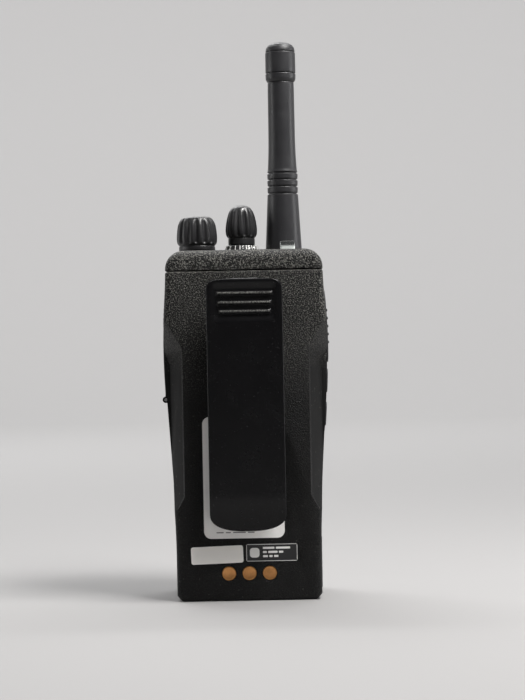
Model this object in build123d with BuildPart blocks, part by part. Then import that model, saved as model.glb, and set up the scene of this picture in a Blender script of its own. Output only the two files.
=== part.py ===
from build123d import *
from functools import lru_cache
from math import sqrt
import os

os.makedirs("parts", exist_ok=True)

# A portable two way radio with its battery and belt clip on, in millimetres.
# X is its width, Y its depth (the speaker faces -Y and the battery +Y) and Z its height.
# The origin is the middle of the face that it stands on, +Z up towards the antenna.

# Driving dimensions: the casing
CASE_H = 127.7          # base to the top cap
HALF_LOW = 26.4         # half the width at the foot
HALF_HIGH = 30.0        # half the width at the shoulders
SWELL_FROM = 15.0       # heights between which the sides swell out
SWELL_TO = 95.0
TOP_TAPER = 1.3         # how far each side comes in again from the widest height to the top
TAPER_FROM = 90.0
TAPER_TO = 124.0
SHOULDER_R = 6.8        # corner between a side and the top
FOOT_CUT = 2.2          # chamfer between a side and the base
FRONT_FOOT = 20.5       # how far the front stands forward at the foot, the middle and the top
FRONT_MID = 22.0
FRONT_TOP = 20.8
FRONT_MID_Z = 75.0
FRONT_TOP_R = 5.0       # rounding from the front to the top
BACK_TOP_R = 4.0        # rounding from the back to the top
FRONT_EDGE_R = 4.5      # upright edges at the front and at the back
BACK_EDGE_R = 2.5
CAP_BACK = 19.3         # back of the top cap
BATTERY_BACK = 20.0     # back of the battery
WALL = 2.2              # wall of the front housing
PARTING_Y = 2.5         # plane between the radio and its battery
CAP_Z = 120.4           # underside of the top cap over the battery
FAR = 60.0              # longer than any half of the radio

# Driving dimensions: the inside
CHASSIS_BACK = 1.8
CHASSIS_FRONT = -1.2
CHASSIS_TOP = 119.6
SEAL_TOP = 109.6
BOARD_BACK = -4.0
BOARD_FRONT = -5.2
SCREW_X = 21.5
SCREW_Z = (6.8, 50.0)
SPEAKER_Z = 84.0
SPEAKER_R = 18.0
SPEAKER_Y = -18.5       # front rim of the speaker, behind its mesh
MIC_X = -9.0
MIC_Z = 58.0
SLIDE_RAIL_X = 19.0
SLIDE_RAIL_Z = (26.0, 56.0, 86.0)
SLIDE_RAIL_LENGTH = 10.0
SLIDE_TRAVEL = 12.0     # how far the battery slides down to come free

# Driving dimensions: the top controls
CONTROL_Y = -6.0
VOLUME_X = 17.6
CHANNEL_X = 0.85
ANTENNA_X = -15.0
ANTENNA_RISE = 5.0      # how far the antenna climbs as it unscrews
RING_TOP = 130.2        # top of the raised ring that carries the channel scale

# Driving dimensions: the sides
PTT_Y = (-15.0, -3.0)
PTT_Z = (86.0, 113.0)
KEY_Y = (-14.0, -4.0)
KEY_Z = {"lower": (62.0, 71.0), "upper": (74.5, 83.5)}
BEZEL_Y = (-16.4, -1.6)
BEZEL_Z = (60.2, 113.8)
COVER_Y = (-16.0, -2.0)
COVER_Z = (73.0, 110.0)
HINGE_X = 30.2
HINGE_Z = 73.0
JACK_Y = -9.6
JACK_Z = {1.8: 86.0, 1.28: 97.0}      # socket radius: height

# Driving dimensions: the battery and its clip
BATTERY_TOP = 119.9
CELL_Z = (22.0, 66.0)
CELL_HEIGHT = 42.0
CONTACT_X = (-7.4, 0.0, 7.4)
CONTACT_Z = 10.0
CONTACT_R = 2.63
CLIP_HALF = 13.8
CLIP_LOW = 26.2
CLIP_HIGH = 117.0
CLIP_BACK = 28.0        # outer face of the lever
CLIP_INNER = 25.5       # its inner face
PIN_Y = 23.4
PIN_Z = 99.0
RAIL_Z = (80.0, 95.0)   # rails that the clip slides on


def smooth(z, start, end):
    """An S-shaped rise from 0 to 1 between two heights."""
    t = min(max((z - start) / (end - start), 0.0), 1.0)
    return t * t * (3 - 2 * t)


def half_width(z):
    """Half the casing's width at a height: it swells from the foot, then tapers to the top."""
    swell = (HALF_HIGH - HALF_LOW) * smooth(z, SWELL_FROM, SWELL_TO)
    return HALF_LOW + swell - TOP_TAPER * smooth(z, TAPER_FROM, TAPER_TO)


@lru_cache(maxsize=None)
def casing(inset, back=BATTERY_BACK):
    """The radio's outer shape, moved inwards all round by inset."""
    low, high = inset, CASE_H - inset
    shoulder = CASE_H - SHOULDER_R
    bend = half_width(shoulder) - SHOULDER_R
    bend_r = SHOULDER_R - inset
    front_r, back_r = FRONT_TOP_R - inset, BACK_TOP_R - inset
    front_z, back_z = CASE_H - FRONT_TOP_R, CASE_H - BACK_TOP_R
    front_y, back_y = FRONT_TOP_R - FRONT_TOP, back - BACK_TOP_R
    half = half_width(0) - inset
    diagonal = sqrt(0.5)
    side = [(half_width(z) - inset, z) for z in (25, 45, 65, 85, 97, 110)]
    with BuildPart() as shape:
        with BuildSketch(Plane.XZ):
            with BuildLine():
                Line((0, low), (half - FOOT_CUT, low))
                Line((half - FOOT_CUT, low), (half, low + FOOT_CUT))
                Spline((half, low + FOOT_CUT), *side, (bend + bend_r, shoulder), tangents=((0, 1), (0, 1)))
                ThreePointArc(
                    (bend + bend_r, shoulder),
                    (bend + bend_r * diagonal, shoulder + bend_r * diagonal),
                    (bend, high),
                )
                Line((bend, high), (0, high))
                mirror(about=Plane.YZ)
            make_face()
        extrude(amount=FAR, both=True)
        with BuildSketch(Plane.YZ):
            with BuildLine():
                Spline(
                    (inset - FRONT_FOOT, low),
                    (inset - FRONT_MID, FRONT_MID_Z),
                    (inset - FRONT_TOP, front_z),
                    tangents=((-0.03, 1), (0, 1)),
                )
                ThreePointArc(
                    (inset - FRONT_TOP, front_z),
                    (front_y - front_r * diagonal, front_z + front_r * diagonal),
                    (front_y, high),
                )
                Line((front_y, high), (back_y, high))
                ThreePointArc(
                    (back_y, high),
                    (back_y + back_r * diagonal, back_z + back_r * diagonal),
                    (back - inset, back_z),
                )
                Line((back - inset, back_z), (back - inset, low))
                Line((back - inset, low), (inset - FRONT_FOOT, low))
            make_face()
        extrude(amount=FAR, both=True, mode=Mode.INTERSECT)
        uprights = shape.edges().filter_by(lambda e: e.length > CASE_H / 2 and abs(e.center().X) > 15)
        fillet([e for e in uprights if e.center().Y < 0], radius=FRONT_EDGE_R - inset)
        fillet([e for e in uprights if e.center().Y > 0], radius=max(BACK_EDGE_R - inset, 0.5))
    return shape.part


def block(x0, x1, y0, y1, z0, z1):
    """A plain block between two limits along each axis."""
    with BuildPart() as solid:
        with Locations(((x0 + x1) / 2, (y0 + y1) / 2, (z0 + z1) / 2)):
            Box(x1 - x0, y1 - y0, z1 - z0)
    return solid.part


def side_bar(y_limits, z_limits, radius, x0, x1, grow=0.0):
    """A bar along X with a rounded section, which cuts a window in a side wall or fills one."""
    (y0, y1), (z0, z1) = y_limits, z_limits
    with BuildPart() as bar:
        with BuildSketch(Plane.YZ.offset(x0)):
            with Locations(((y0 + y1) / 2, (z0 + z1) / 2)):
                RectangleRounded(y1 - y0 + 2 * grow, z1 - z0 + 2 * grow, radius + grow)
        extrude(amount=x1 - x0)
    return bar.part


def back_bar(width, height, radius, x, z, y0, y1, turn=0.0):
    """A bar along Y with a rounded section, turned by some degrees, for labels and recesses."""
    with BuildPart() as bar:
        with BuildSketch(Plane.XZ.offset(-y0)):
            with Locations(Location((x, z, 0), (0, 0, turn))):
                RectangleRounded(width, height, radius)
        extrude(amount=y0 - y1)
    return bar.part


def rod(plane, radius, length, x=0.0, y=0.0):
    """A round bar that grows from a plane along its normal."""
    with BuildPart() as bar:
        with BuildSketch(plane):
            with Locations((x, y)):
                Circle(radius)
        extrude(amount=length)
    return bar.part


def skin(outer, inner, window, shift=0.0):
    """The layer of the casing between two insets, its outside shifted along X, in a window."""
    with BuildPart() as layer:
        add(casing(outer).moved(Location((shift, 0, 0))))
        add(casing(inner), mode=Mode.SUBTRACT)
        add(window, mode=Mode.INTERSECT)
    return layer.part


def outside(inset, window):
    """What a window holds outside the casing at an inset, which cuts a recess of that depth."""
    with BuildPart() as cutter:
        add(window)
        add(casing(inset), mode=Mode.SUBTRACT)
    return cutter.part


def coil(radius, wire, height, turns, plane):
    """A coil spring of round wire along a plane's normal."""
    with BuildPart() as spring:
        with BuildLine():
            path = Helix(pitch=height / turns, height=height, radius=radius)
        with BuildSketch(Plane(origin=path @ 0, z_dir=path % 0)):
            Circle(wire)
        sweep(path=path, is_frenet=True)
    return plane.location * spring.part


def save(name, solid):
    """Labels a finished piece and writes it to its own file."""
    solid.label = name
    export_step(solid, f"parts/{name}.step")


# ---------------------------------------------------------------- front housing

with BuildPart() as hollow:
    add(casing(WALL, CAP_BACK))
    add(block(-FAR, FAR, PARTING_Y, FAR, -1, CAP_Z + WALL), mode=Mode.SUBTRACT)

with BuildPart() as front_housing:
    add(casing(0, CAP_BACK))
    add(skin(0, 1.0, block(-FAR, -10, -4, 2, 2.4, 21), -0.6))
    add(skin(0, 1.0, block(10, FAR, -4, 2, 2.4, 21), 0.6))
    add(block(-FAR, FAR, PARTING_Y, FAR, -1, CAP_Z), mode=Mode.SUBTRACT)
    add(hollow.part, mode=Mode.SUBTRACT)
    # Posts for the chassis screws, and the stop that the latch spring pushes on
    with BuildSketch(Plane.XZ.offset(-CHASSIS_FRONT)):
        for screw_z in SCREW_Z:
            with Locations((-SCREW_X, screw_z), (SCREW_X, screw_z)):
                Circle(2.3)
                Circle(1.0, mode=Mode.SUBTRACT)
    extrude(amount=18.9)
    add(block(-2.5, 2.5, -12, -10.7, 1.5, 7.2))
    # Sunk round the speaker, with rows of slots that follow a circle
    with BuildSketch(Plane.XZ.offset(FRONT_MID + 3)):
        with Locations((0, SPEAKER_Z)):
            Circle(20.5)
    extrude(amount=-3.5, mode=Mode.SUBTRACT)
    with BuildSketch(Plane.XZ.offset(FRONT_MID + 3)):
        for row in range(-4, 5):
            drop = 3.6 * row
            with Locations((0, SPEAKER_Z + drop)):
                SlotOverall(2 * sqrt(17.0 ** 2 - drop ** 2), 1.7)
        with Locations((MIC_X, MIC_Z)):
            Circle(0.9)
    extrude(amount=-6, mode=Mode.SUBTRACT)
    add(back_bar(26, 8, 3.8, 0, 44, -FRONT_MID - 1, -21.0), mode=Mode.SUBTRACT)
    # Holes in the top wall for the two controls, the antenna and the light
    with BuildSketch(Plane.XY.offset(CASE_H + 1)):
        with Locations((VOLUME_X, CONTROL_Y)):
            Circle(3.6)
        with Locations((CHANNEL_X, CONTROL_Y)):
            Circle(3.1)
        with Locations((ANTENNA_X, CONTROL_Y)):
            Circle(4.5)
        with Locations((-16.2, 8.0)):
            Rectangle(5.7, 3.2)
    extrude(amount=-WALL - 2, mode=Mode.SUBTRACT)
    # The side windows: the key bezel at -X, and the cover's recess with its socket holes at +X
    add(side_bar(BEZEL_Y, BEZEL_Z, 5, -FAR, -10, 0.1), mode=Mode.SUBTRACT)
    add(outside(0.9, side_bar(BEZEL_Y, BEZEL_Z, 5, -FAR, -10, 0.7)), mode=Mode.SUBTRACT)
    add(outside(1.2, side_bar(COVER_Y, (71.5, 110), 1.5, 10, FAR, 0.3)), mode=Mode.SUBTRACT)
    for socket_z in JACK_Z.values():
        add(rod(Plane.YZ, 3.4, FAR, JACK_Y, socket_z), mode=Mode.SUBTRACT)
    # The way for the battery latch through the base
    add(block(-10.3, 10.3, -10.4, FAR, -1, 2.3), mode=Mode.SUBTRACT)
    # Ears that hold the cover's pin
    for ear_y in (-17.4, -1.6):
        with BuildSketch(Plane.XZ.offset(-ear_y)):
            with Locations((HINGE_X, HINGE_Z)):
                Circle(1.2)
            with Locations((HINGE_X - 1.5, HINGE_Z)):
                Rectangle(3, 2.4)
        extrude(amount=-1.0)
    with BuildSketch(Plane.XZ.offset(18)):
        with Locations((HINGE_X, HINGE_Z)):
            Circle(0.62)
    extrude(amount=-18, mode=Mode.SUBTRACT)
save("front_housing", front_housing.part)

with BuildPart() as nameplate:
    add(back_bar(25.8, 7.8, 3.7, 0, 44, -21.75, -21.05))
    fillet(nameplate.faces().sort_by(Axis.Y)[0].edges(), radius=0.3)
save("nameplate", nameplate.part)

with BuildPart() as led_lens:
    with BuildSketch(Plane.XY.offset(124.3)):
        with Locations((-16.2, 8.0)):
            RectangleRounded(7.0, 4.4, 0.8)
    extrude(amount=1.15)
    with BuildSketch(Plane.XY.offset(124.3)):
        with Locations((-16.2, 8.0)):
            RectangleRounded(5.5, 3.0, 0.7)
    extrude(amount=6.7)
    fillet(led_lens.faces().sort_by(Axis.Z)[-1].edges(), radius=0.5)
save("led_lens", led_lens.part)

# ---------------------------------------------------------------- chassis and its seal

with BuildPart() as chassis:
    add(casing(WALL + 0.2))
    add(block(-FAR, FAR, CHASSIS_FRONT, CHASSIS_BACK, 2.6, CHASSIS_TOP), mode=Mode.INTERSECT)
    add(block(-10.5, 10.5, -5, 5, 0, 8.6), mode=Mode.SUBTRACT)
    add(block(-8.2, 8.2, -5, 5, 11.4, 18.6), mode=Mode.SUBTRACT)
    # T-shaped rails that hold the battery
    for x in (-SLIDE_RAIL_X, SLIDE_RAIL_X):
        for z in SLIDE_RAIL_Z:
            add(block(x - 1.0, x + 1.0, CHASSIS_BACK - 0.1, 3.8, z, z + SLIDE_RAIL_LENGTH))
            add(block(x - 2.1, x + 2.1, 3.7, 4.8, z, z + SLIDE_RAIL_LENGTH))
    # Shallow cooling ribs between the rails
    for rib in range(6):
        add(block(-12, 12, CHASSIS_BACK - 0.1, CHASSIS_BACK + 0.5, 30 + 14 * rib, 31.6 + 14 * rib))
    for screw_z in SCREW_Z:
        for screw_x in (-SCREW_X, SCREW_X):
            with Locations(Plane(origin=(screw_x, CHASSIS_BACK, screw_z), z_dir=(0, 1, 0))):
                CounterSinkHole(radius=1.1, counter_sink_radius=2.0, counter_sink_angle=90)
save("chassis", chassis.part)


def countersunk_screw(place):
    """A cross-head screw whose flat head lies in the plane at place, pointing along its -Z."""
    with BuildPart() as screw:
        with BuildSketch(Plane.XZ):
            with BuildLine():
                Polyline((0, 0), (1.9, 0), (0.95, -0.95), (0.95, -10.0), (0, -10.6), close=True)
            make_face()
        revolve(axis=Axis.Z)
        with BuildSketch():
            Rectangle(2.2, 0.45)
            Rectangle(0.45, 2.2)
        extrude(amount=-0.5, mode=Mode.SUBTRACT)
    return place.location * screw.part


with BuildPart() as chassis_screws:
    for screw_z in SCREW_Z:
        for screw_x in (-SCREW_X, SCREW_X):
            add(countersunk_screw(Plane(origin=(screw_x, CHASSIS_BACK - 0.06, screw_z), z_dir=(0, 1, 0))))
save("chassis_screws", chassis_screws.part)

with BuildPart() as seal_middle:
    add(casing(WALL + 1.2))
    add(block(-FAR, FAR, -3, 0, 10.6, SEAL_TOP - 1.2), mode=Mode.INTERSECT)

with BuildPart() as chassis_seal:
    add(casing(WALL + 0.2))
    add(block(-FAR, FAR, -2.0, CHASSIS_FRONT, 9.4, SEAL_TOP), mode=Mode.INTERSECT)
    add(seal_middle.part, mode=Mode.SUBTRACT)
save("chassis_seal", chassis_seal.part)

# ---------------------------------------------------------------- boards inside

with BuildPart() as main_board:
    with BuildSketch(Plane.XZ.offset(-BOARD_BACK)):
        with Locations((0, 58.5)):
            RectangleRounded(37.6, 91, 1.5)
    extrude(amount=BOARD_BACK - BOARD_FRONT)
save("main_board", main_board.part)

CANS = ((-9.6, 32, 14, 26), (8.2, 32, 16, 26), (0, 62, 32, 22), (0, 91, 30, 20))
with BuildPart() as shield_cans:
    for x, z, width, height in CANS:
        with BuildSketch(Plane.XZ.offset(-BOARD_BACK)):
            with Locations((x, z)):
                RectangleRounded(width, height, 1.0)
        extrude(amount=BOARD_BACK - CHASSIS_FRONT)
        with BuildSketch(Plane.XZ.offset(-BOARD_BACK)):
            with Locations((x, z)):
                Rectangle(width - 0.8, height - 0.8)
        extrude(amount=BOARD_BACK - CHASSIS_FRONT + 0.4, mode=Mode.SUBTRACT)
save("shield_cans", shield_cans.part)

CHIPS = ((-8, 22, 9, 9), (6, 24, 7, 10), (-11, 40, 6, 4), (2, 40, 10, 8), (12, 36, 5, 5), (8, 52, 6, 6))
with BuildPart() as board_chips:
    for x, z, width, height in CHIPS:
        with BuildSketch(Plane.XZ.offset(-BOARD_FRONT)):
            with Locations((x, z)):
                Rectangle(width, height)
        extrude(amount=1.1)
save("board_chips", board_chips.part)

with BuildPart() as control_board:
    add(block(-7.5, 24.0, -12.4, -1.6, 110.8, 112.0))
    fillet(control_board.edges().filter_by(Axis.Z), radius=1.0)
save("control_board", control_board.part)

# ---------------------------------------------------------------- speaker and microphone


def speaker_part(points):
    """A body of revolution about the speaker's axis, from its (radius, depth from the front)."""
    with BuildPart() as body:
        with BuildSketch(Plane.XZ):
            with BuildLine():
                Polyline(*points, close=True)
            make_face()
        revolve(axis=Axis.Z)
    return Plane(origin=(0, SPEAKER_Y, SPEAKER_Z), z_dir=(0, 1, 0)).location * body.part


FRAME_OUTLINE = [
    (15.6, 0), (SPEAKER_R, 0), (SPEAKER_R, 1.6), (16.4, 2.0), (10.4, 5.1), (0, 5.1), (0, 4.3),
    (10.0, 4.3), (15.6, 1.4),
]
CONE_OUTLINE = [(15.2, 0.5), (15.5, 0.8), (6.0, 3.4), (4.0, 1.9), (0, 1.5), (0, 1.2), (4.2, 1.6), (6.0, 3.0)]
with BuildPart() as speaker_frame:
    add(speaker_part(FRAME_OUTLINE))
save("speaker_frame", speaker_frame.part)
with BuildPart() as speaker_cone:
    add(speaker_part(CONE_OUTLINE))
save("speaker_cone", speaker_cone.part)
with BuildPart() as speaker_magnet:
    add(speaker_part([(0, 5.1), (8.6, 5.1), (9, 5.5), (9, 8.8), (8.6, 9.2), (0, 9.2)]))
save("speaker_magnet", speaker_magnet.part)
with BuildPart() as speaker_mesh:
    add(speaker_part([(0, -0.3), (17.4, -0.3), (17.4, 0), (0, 0)]))
save("speaker_mesh", speaker_mesh.part)


def microphone_part(radius, bore, y0, y1):
    """A ring or disc about the microphone's axis between two depths."""
    with BuildPart() as body:
        with BuildSketch(Plane.XZ.offset(-y0)):
            with Locations((MIC_X, MIC_Z)):
                Circle(radius)
                if bore:
                    Circle(bore, mode=Mode.SUBTRACT)
        extrude(amount=y0 - y1)
    return body.part


with BuildPart() as microphone:
    add(microphone_part(2.2, 0, -18.4, -16.2))
save("microphone", microphone.part)
with BuildPart() as microphone_boot:
    add(microphone_part(3.3, 2.25, -19.4, -16.2))
    add(microphone_part(2.3, 0.8, -19.4, -18.4))
save("microphone_boot", microphone_boot.part)

# ---------------------------------------------------------------- volume and channel controls


def control_body(x, bushing_r, bushing_top, bore_r):
    """A control's case under the top wall, with the threaded bushing that comes up through it."""
    with BuildPart() as body:
        add(block(x - 4.3, x + 4.3, CONTROL_Y - 4.4, CONTROL_Y + 4.4, 112.0, CASE_H - WALL))
        add(rod(Plane.XY.offset(120), bushing_r, bushing_top - 120, x, CONTROL_Y))
        add(rod(Plane.XY.offset(114), bore_r, 30, x, CONTROL_Y), mode=Mode.SUBTRACT)
    return body.part


def control_shaft(x, radius, top):
    """A shaft that is flat on its +Y side where the knob grips it."""
    with BuildPart() as shaft:
        add(rod(Plane.XY.offset(114.2), radius, top - 114.2, x, CONTROL_Y))
        flat = CONTROL_Y + 0.7 * radius
        add(block(x - 5, x + 5, flat, flat + 5, 130.2, top + 1), mode=Mode.SUBTRACT)
    return shaft.part


def knob(x, outline, hollow_r, hollow_z, bore_r, bore_top, grip):
    """A knob with a hollow for the nut, a flatted bore for its shaft and grooves round its grip.

    grip is the number of grooves, the circle that their middles lie on, their radius, and the
    heights that they start and end at.
    """
    grooves, circle_r, groove_r, grip_low, grip_high = grip
    base = outline[0][1]
    top = outline[-1][1]
    with BuildPart() as body:
        with BuildSketch(Plane.XZ.offset(-CONTROL_Y)):
            with BuildLine():
                Polyline(*[(x + r, z) for r, z in outline], (x, top), (x, base), close=True)
            make_face()
        revolve(axis=Axis((x, CONTROL_Y, 0), (0, 0, 1)))
        with BuildSketch(Plane.XY.offset(base)):
            with Locations((x, CONTROL_Y)):
                Circle(hollow_r)
        extrude(amount=hollow_z - base, mode=Mode.SUBTRACT)
        with BuildSketch(Plane.XY.offset(base)):
            with Locations((x, CONTROL_Y)):
                Circle(bore_r)
            with Locations((x, CONTROL_Y + 0.7 * bore_r + 5)):
                Rectangle(10, 10, mode=Mode.SUBTRACT)
        extrude(amount=bore_top - base, mode=Mode.SUBTRACT)
        with BuildSketch(Plane.XY.offset(grip_low)):
            with Locations((x, CONTROL_Y)):
                with PolarLocations(circle_r, grooves):
                    Circle(groove_r)
        extrude(amount=grip_high - grip_low, mode=Mode.SUBTRACT)
    return body.part


VOLUME_OUTLINE = [
    (6.8, 128.6), (6.8, 130.3), (7.15, 130.8), (7.6, 132.4), (7.55, 134.4), (7.4, 136.2), (7.05, 138.4),
    (6.4, 139.9), (5.5, 140.9), (4.9, 141.3),
]
VOLUME_GRIP = (14, 8.3, 1.0, 131.0, 140.2)
CHANNEL_OUTLINE = [
    (5.0, 130.4), (5.0, 133.1), (5.7, 134.0), (5.95, 135.9), (5.65, 138.3), (5.1, 141.3), (4.6, 142.9),
    (3.3, 144.5), (1.6, 145.4),
]
CHANNEL_GRIP = (12, 6.6, 0.95, 133.6, 143.0)

with BuildPart() as volume_control:
    add(control_body(VOLUME_X, 3.5, 130.4, 2.45))
save("volume_control", volume_control.part)
with BuildPart() as volume_shaft:
    add(control_shaft(VOLUME_X, 2.4, 138.4))
save("volume_shaft", volume_shaft.part)
with BuildPart() as volume_knob:
    add(knob(VOLUME_X, VOLUME_OUTLINE, 5.6, 131.2, 2.45, 138.6, VOLUME_GRIP))
save("volume_knob", volume_knob.part)

with BuildPart() as channel_switch:
    add(control_body(CHANNEL_X, 3.0, 130.0, 2.05))
save("channel_switch", channel_switch.part)
with BuildPart() as channel_shaft:
    add(control_shaft(CHANNEL_X, 2.0, 141.4))
save("channel_shaft", channel_shaft.part)
with BuildPart() as channel_knob:
    add(knob(CHANNEL_X, CHANNEL_OUTLINE, 4.3, 131.0, 2.05, 141.6, CHANNEL_GRIP))
save("channel_knob", channel_knob.part)

# A raised ring round the channel control that carries its scale
with BuildPart() as channel_ring:
    with BuildSketch(Plane.XZ.offset(-CONTROL_Y)):
        with BuildLine():
            Polyline(
                (CHANNEL_X + 4.4, CASE_H), (CHANNEL_X + 6.5, CASE_H), (CHANNEL_X + 5.75, RING_TOP),
                (CHANNEL_X + 4.4, RING_TOP), close=True,
            )
        make_face()
    revolve(axis=Axis((CHANNEL_X, CONTROL_Y, 0), (0, 0, 1)))
save("channel_ring", channel_ring.part)

with BuildPart() as control_nuts:
    with BuildSketch(Plane.XY.offset(CASE_H)):
        for x, across, bore_r in ((VOLUME_X, 9.0, 3.5), (CHANNEL_X, 7.0, 3.0)):
            with Locations((x, CONTROL_Y)):
                RegularPolygon(across / 2, 6, major_radius=False)
                Circle(bore_r, mode=Mode.SUBTRACT)
    extrude(amount=1.7)
save("control_nuts", control_nuts.part)

# ---------------------------------------------------------------- antenna


def antenna_part(points):
    """A body of revolution about the antenna's axis, from its (radius, height) outline."""
    with BuildPart() as body:
        with BuildSketch(Plane.XZ.offset(-CONTROL_Y)):
            with BuildLine():
                Polyline(*[(ANTENNA_X + r, z) for r, z in points], close=True)
            make_face()
        revolve(axis=Axis((ANTENNA_X, CONTROL_Y, 0), (0, 0, 1)))
    return body.part


GROOVES_Z = (149.5, 152.15, 154.7, 157.2)
sheath_outside = [(6.6, 128.2), (6.8, 128.5), (5.75, 149.2)]
for groove_z in GROOVES_Z:
    sheath_outside += [(5.7, groove_z - 0.3), (5.25, groove_z - 0.2), (5.25, groove_z + 0.2), (5.65, groove_z + 0.3)]
sheath_outside += [(5.4, 158.5), (5.0, 170), (4.95, 191.3)]

with BuildPart() as antenna_socket:
    add(antenna_part([(3.0, 114), (4.4, 114), (4.4, 124.2), (5.2, 124.2), (5.2, 125.5), (4.4, 125.5),
                      (4.4, 127.9), (3.0, 127.9)]))
save("antenna_socket", antenna_socket.part)
with BuildPart() as antenna_stud:
    add(antenna_part([(0, 122.5), (2.5, 122.5), (2.9, 122.9), (2.9, 128.2), (4.0, 128.2), (4.0, 138.0), (0, 138.0)]))
save("antenna_stud", antenna_stud.part)
with BuildPart() as antenna_sheath:
    add(antenna_part([(4.05, 128.2), *sheath_outside, (3.4, 191.3), (3.4, 138.05), (4.05, 138.05)]))
save("antenna_sheath", antenna_sheath.part)
with BuildPart() as antenna_cap:
    add(antenna_part([
        (0, 191.3), (4.9, 191.3), (5.67, 192.4), (5.67, 194.4), (5.3, 194.5), (5.3, 194.8), (5.67, 194.9),
        (5.67, 202.4), (5.3, 202.5), (5.3, 202.8), (5.6, 202.9), (5.2, 204.6), (4.9, 204.7), (4.8, 205.0),
        (3.6, 205.9), (1.8, 206.4), (0, 206.4),
    ]))
save("antenna_cap", antenna_cap.part)
with BuildPart() as antenna_coil:
    add(coil(2.6, 0.45, 52, 13, Plane.XY.offset(138.5)).moved(Location((ANTENNA_X, CONTROL_Y, 0))))
save("antenna_coil", antenna_coil.part)

# ---------------------------------------------------------------- side keys

with BuildPart() as key_bezel:
    add(skin(0, WALL, side_bar(BEZEL_Y, BEZEL_Z, 5, -FAR, -10), -0.45))
    add(skin(0, 0.85, side_bar(BEZEL_Y, BEZEL_Z, 5, -FAR, -10, 0.6), -0.45))
    for key_z, key_y, key_r in ((PTT_Z, PTT_Y, 3.5), (KEY_Z["upper"], KEY_Y, 2.5), (KEY_Z["lower"], KEY_Y, 2.5)):
        add(side_bar(key_y, key_z, key_r, -FAR, -10, 0.3), mode=Mode.SUBTRACT)
save("key_bezel", key_bezel.part)


def side_key(y_limits, z_limits, radius, proud, plunger_z, plunger_x):
    """A key that fills its window, with a lip behind the bezel and a plunger for its switch."""
    with BuildPart() as key:
        add(skin(0, 3.3, side_bar(y_limits, z_limits, radius, -FAR, -10), -proud))
        add(skin(2.5, 3.3, side_bar(y_limits, z_limits, radius, -FAR, -10, 0.9)))
        lip_x = -half_width(plunger_z) + 2.9
        add(rod(Plane.YZ.offset(lip_x), 1.6, plunger_x - lip_x, sum(y_limits) / 2, plunger_z))
    return key.part


PTT_MIDDLE = sum(PTT_Z) / 2
with BuildPart() as ptt_key:
    add(side_key(PTT_Y, PTT_Z, 3.5, 1.0, PTT_MIDDLE, -25.1))
    # Ribs moulded across its face
    for rib in range(5):
        rib_z = PTT_MIDDLE - 6 + 3 * rib
        add(skin(0, 0.5, side_bar((-13, -5), (rib_z - 0.5, rib_z + 0.5), 0.45, -FAR, -10), -1.4))
save("ptt_key", ptt_key.part)
for which, key_z in KEY_Z.items():
    middle = sum(key_z) / 2
    with BuildPart() as small_key:
        add(side_key(KEY_Y, key_z, 2.5, 0.9, middle, -24.9))
    save(f"side_key_{which}", small_key.part)

SWITCH_Z = (PTT_MIDDLE, sum(KEY_Z["upper"]) / 2, sum(KEY_Z["lower"]) / 2)
with BuildPart() as side_switches:
    for switch_z in SWITCH_Z:
        add(block(-23.6, -23.0, -11.6, -6.4, switch_z - 2.6, switch_z + 2.6))
        add(rod(Plane.YZ.offset(-24.0), 1.4, 0.5, -9.0, switch_z))
save("side_switches", side_switches.part)
with BuildPart() as side_board:
    add(block(-23.0, -22.2, -13.5, -5.4, 61, 111))
save("side_board", side_board.part)

# ---------------------------------------------------------------- accessory socket and its cover

with BuildPart() as accessory_cover:
    add(skin(0, 1.1, side_bar(COVER_Y, COVER_Z, 1.5, 10, FAR), 0.9))
    add(block(10, FAR, -17, -1, 60, HINGE_Z + 1.2), mode=Mode.SUBTRACT)
    with BuildSketch(Plane.XZ.offset(2.2)):
        with Locations((HINGE_X, HINGE_Z)):
            Circle(1.2)
        with Locations((HINGE_X - 0.5, HINGE_Z + 1.0)):
            Rectangle(1.4, 2.0)
    extrude(amount=13.6)
    add(rod(Plane.XZ.offset(2), 0.65, 14, HINGE_X, HINGE_Z), mode=Mode.SUBTRACT)
    # Ribs for the nail that lifts it
    for rib_z in (103.2, 105.0, 106.8):
        add(skin(0, 0.5, side_bar((-13.5, -4.5), (rib_z - 0.45, rib_z + 0.45), 0.4, 10, FAR), 1.2))
save("accessory_cover", accessory_cover.part)
with BuildPart() as cover_pin:
    add(rod(Plane.XZ.offset(0.8), 0.6, 16.4, HINGE_X, HINGE_Z))
save("cover_pin", cover_pin.part)

with BuildPart() as jack_block:
    add(block(12, 27.4, -13.6, -5.6, 81, 102))
    fillet(jack_block.edges().filter_by(Axis.X), radius=1.0)
    for socket_r, socket_z in JACK_Z.items():
        with BuildSketch(Plane.YZ.offset(27.4)):
            with Locations((JACK_Y, socket_z)):
                Circle(socket_r)
        extrude(amount=-13.4, mode=Mode.SUBTRACT)
save("jack_block", jack_block.part)

# ---------------------------------------------------------------- contacts between radio and battery

TERMINAL_X = (-6, -2, 2, 6)
with BuildPart() as contact_block:
    add(block(-8, 8, -3.9, 2.2, 11.6, 18.4))
    for x in TERMINAL_X:
        add(block(x - 1.1, x + 1.1, 0.3, 3, 12.4, 17.6), mode=Mode.SUBTRACT)
save("contact_block", contact_block.part)
with BuildPart() as radio_contacts:
    for x in TERMINAL_X:
        with BuildSketch(Plane.YZ.offset(x - 0.8)):
            with BuildLine():
                FilletPolyline((0.5, 12.7), (0.7, 16.6), (2.4, 15.4), (0.9, 13.6), radius=0.3)
                offset(amount=0.12)
            make_face()
        extrude(amount=1.6)
save("radio_contacts", radio_contacts.part)

# ---------------------------------------------------------------- battery latch

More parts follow.
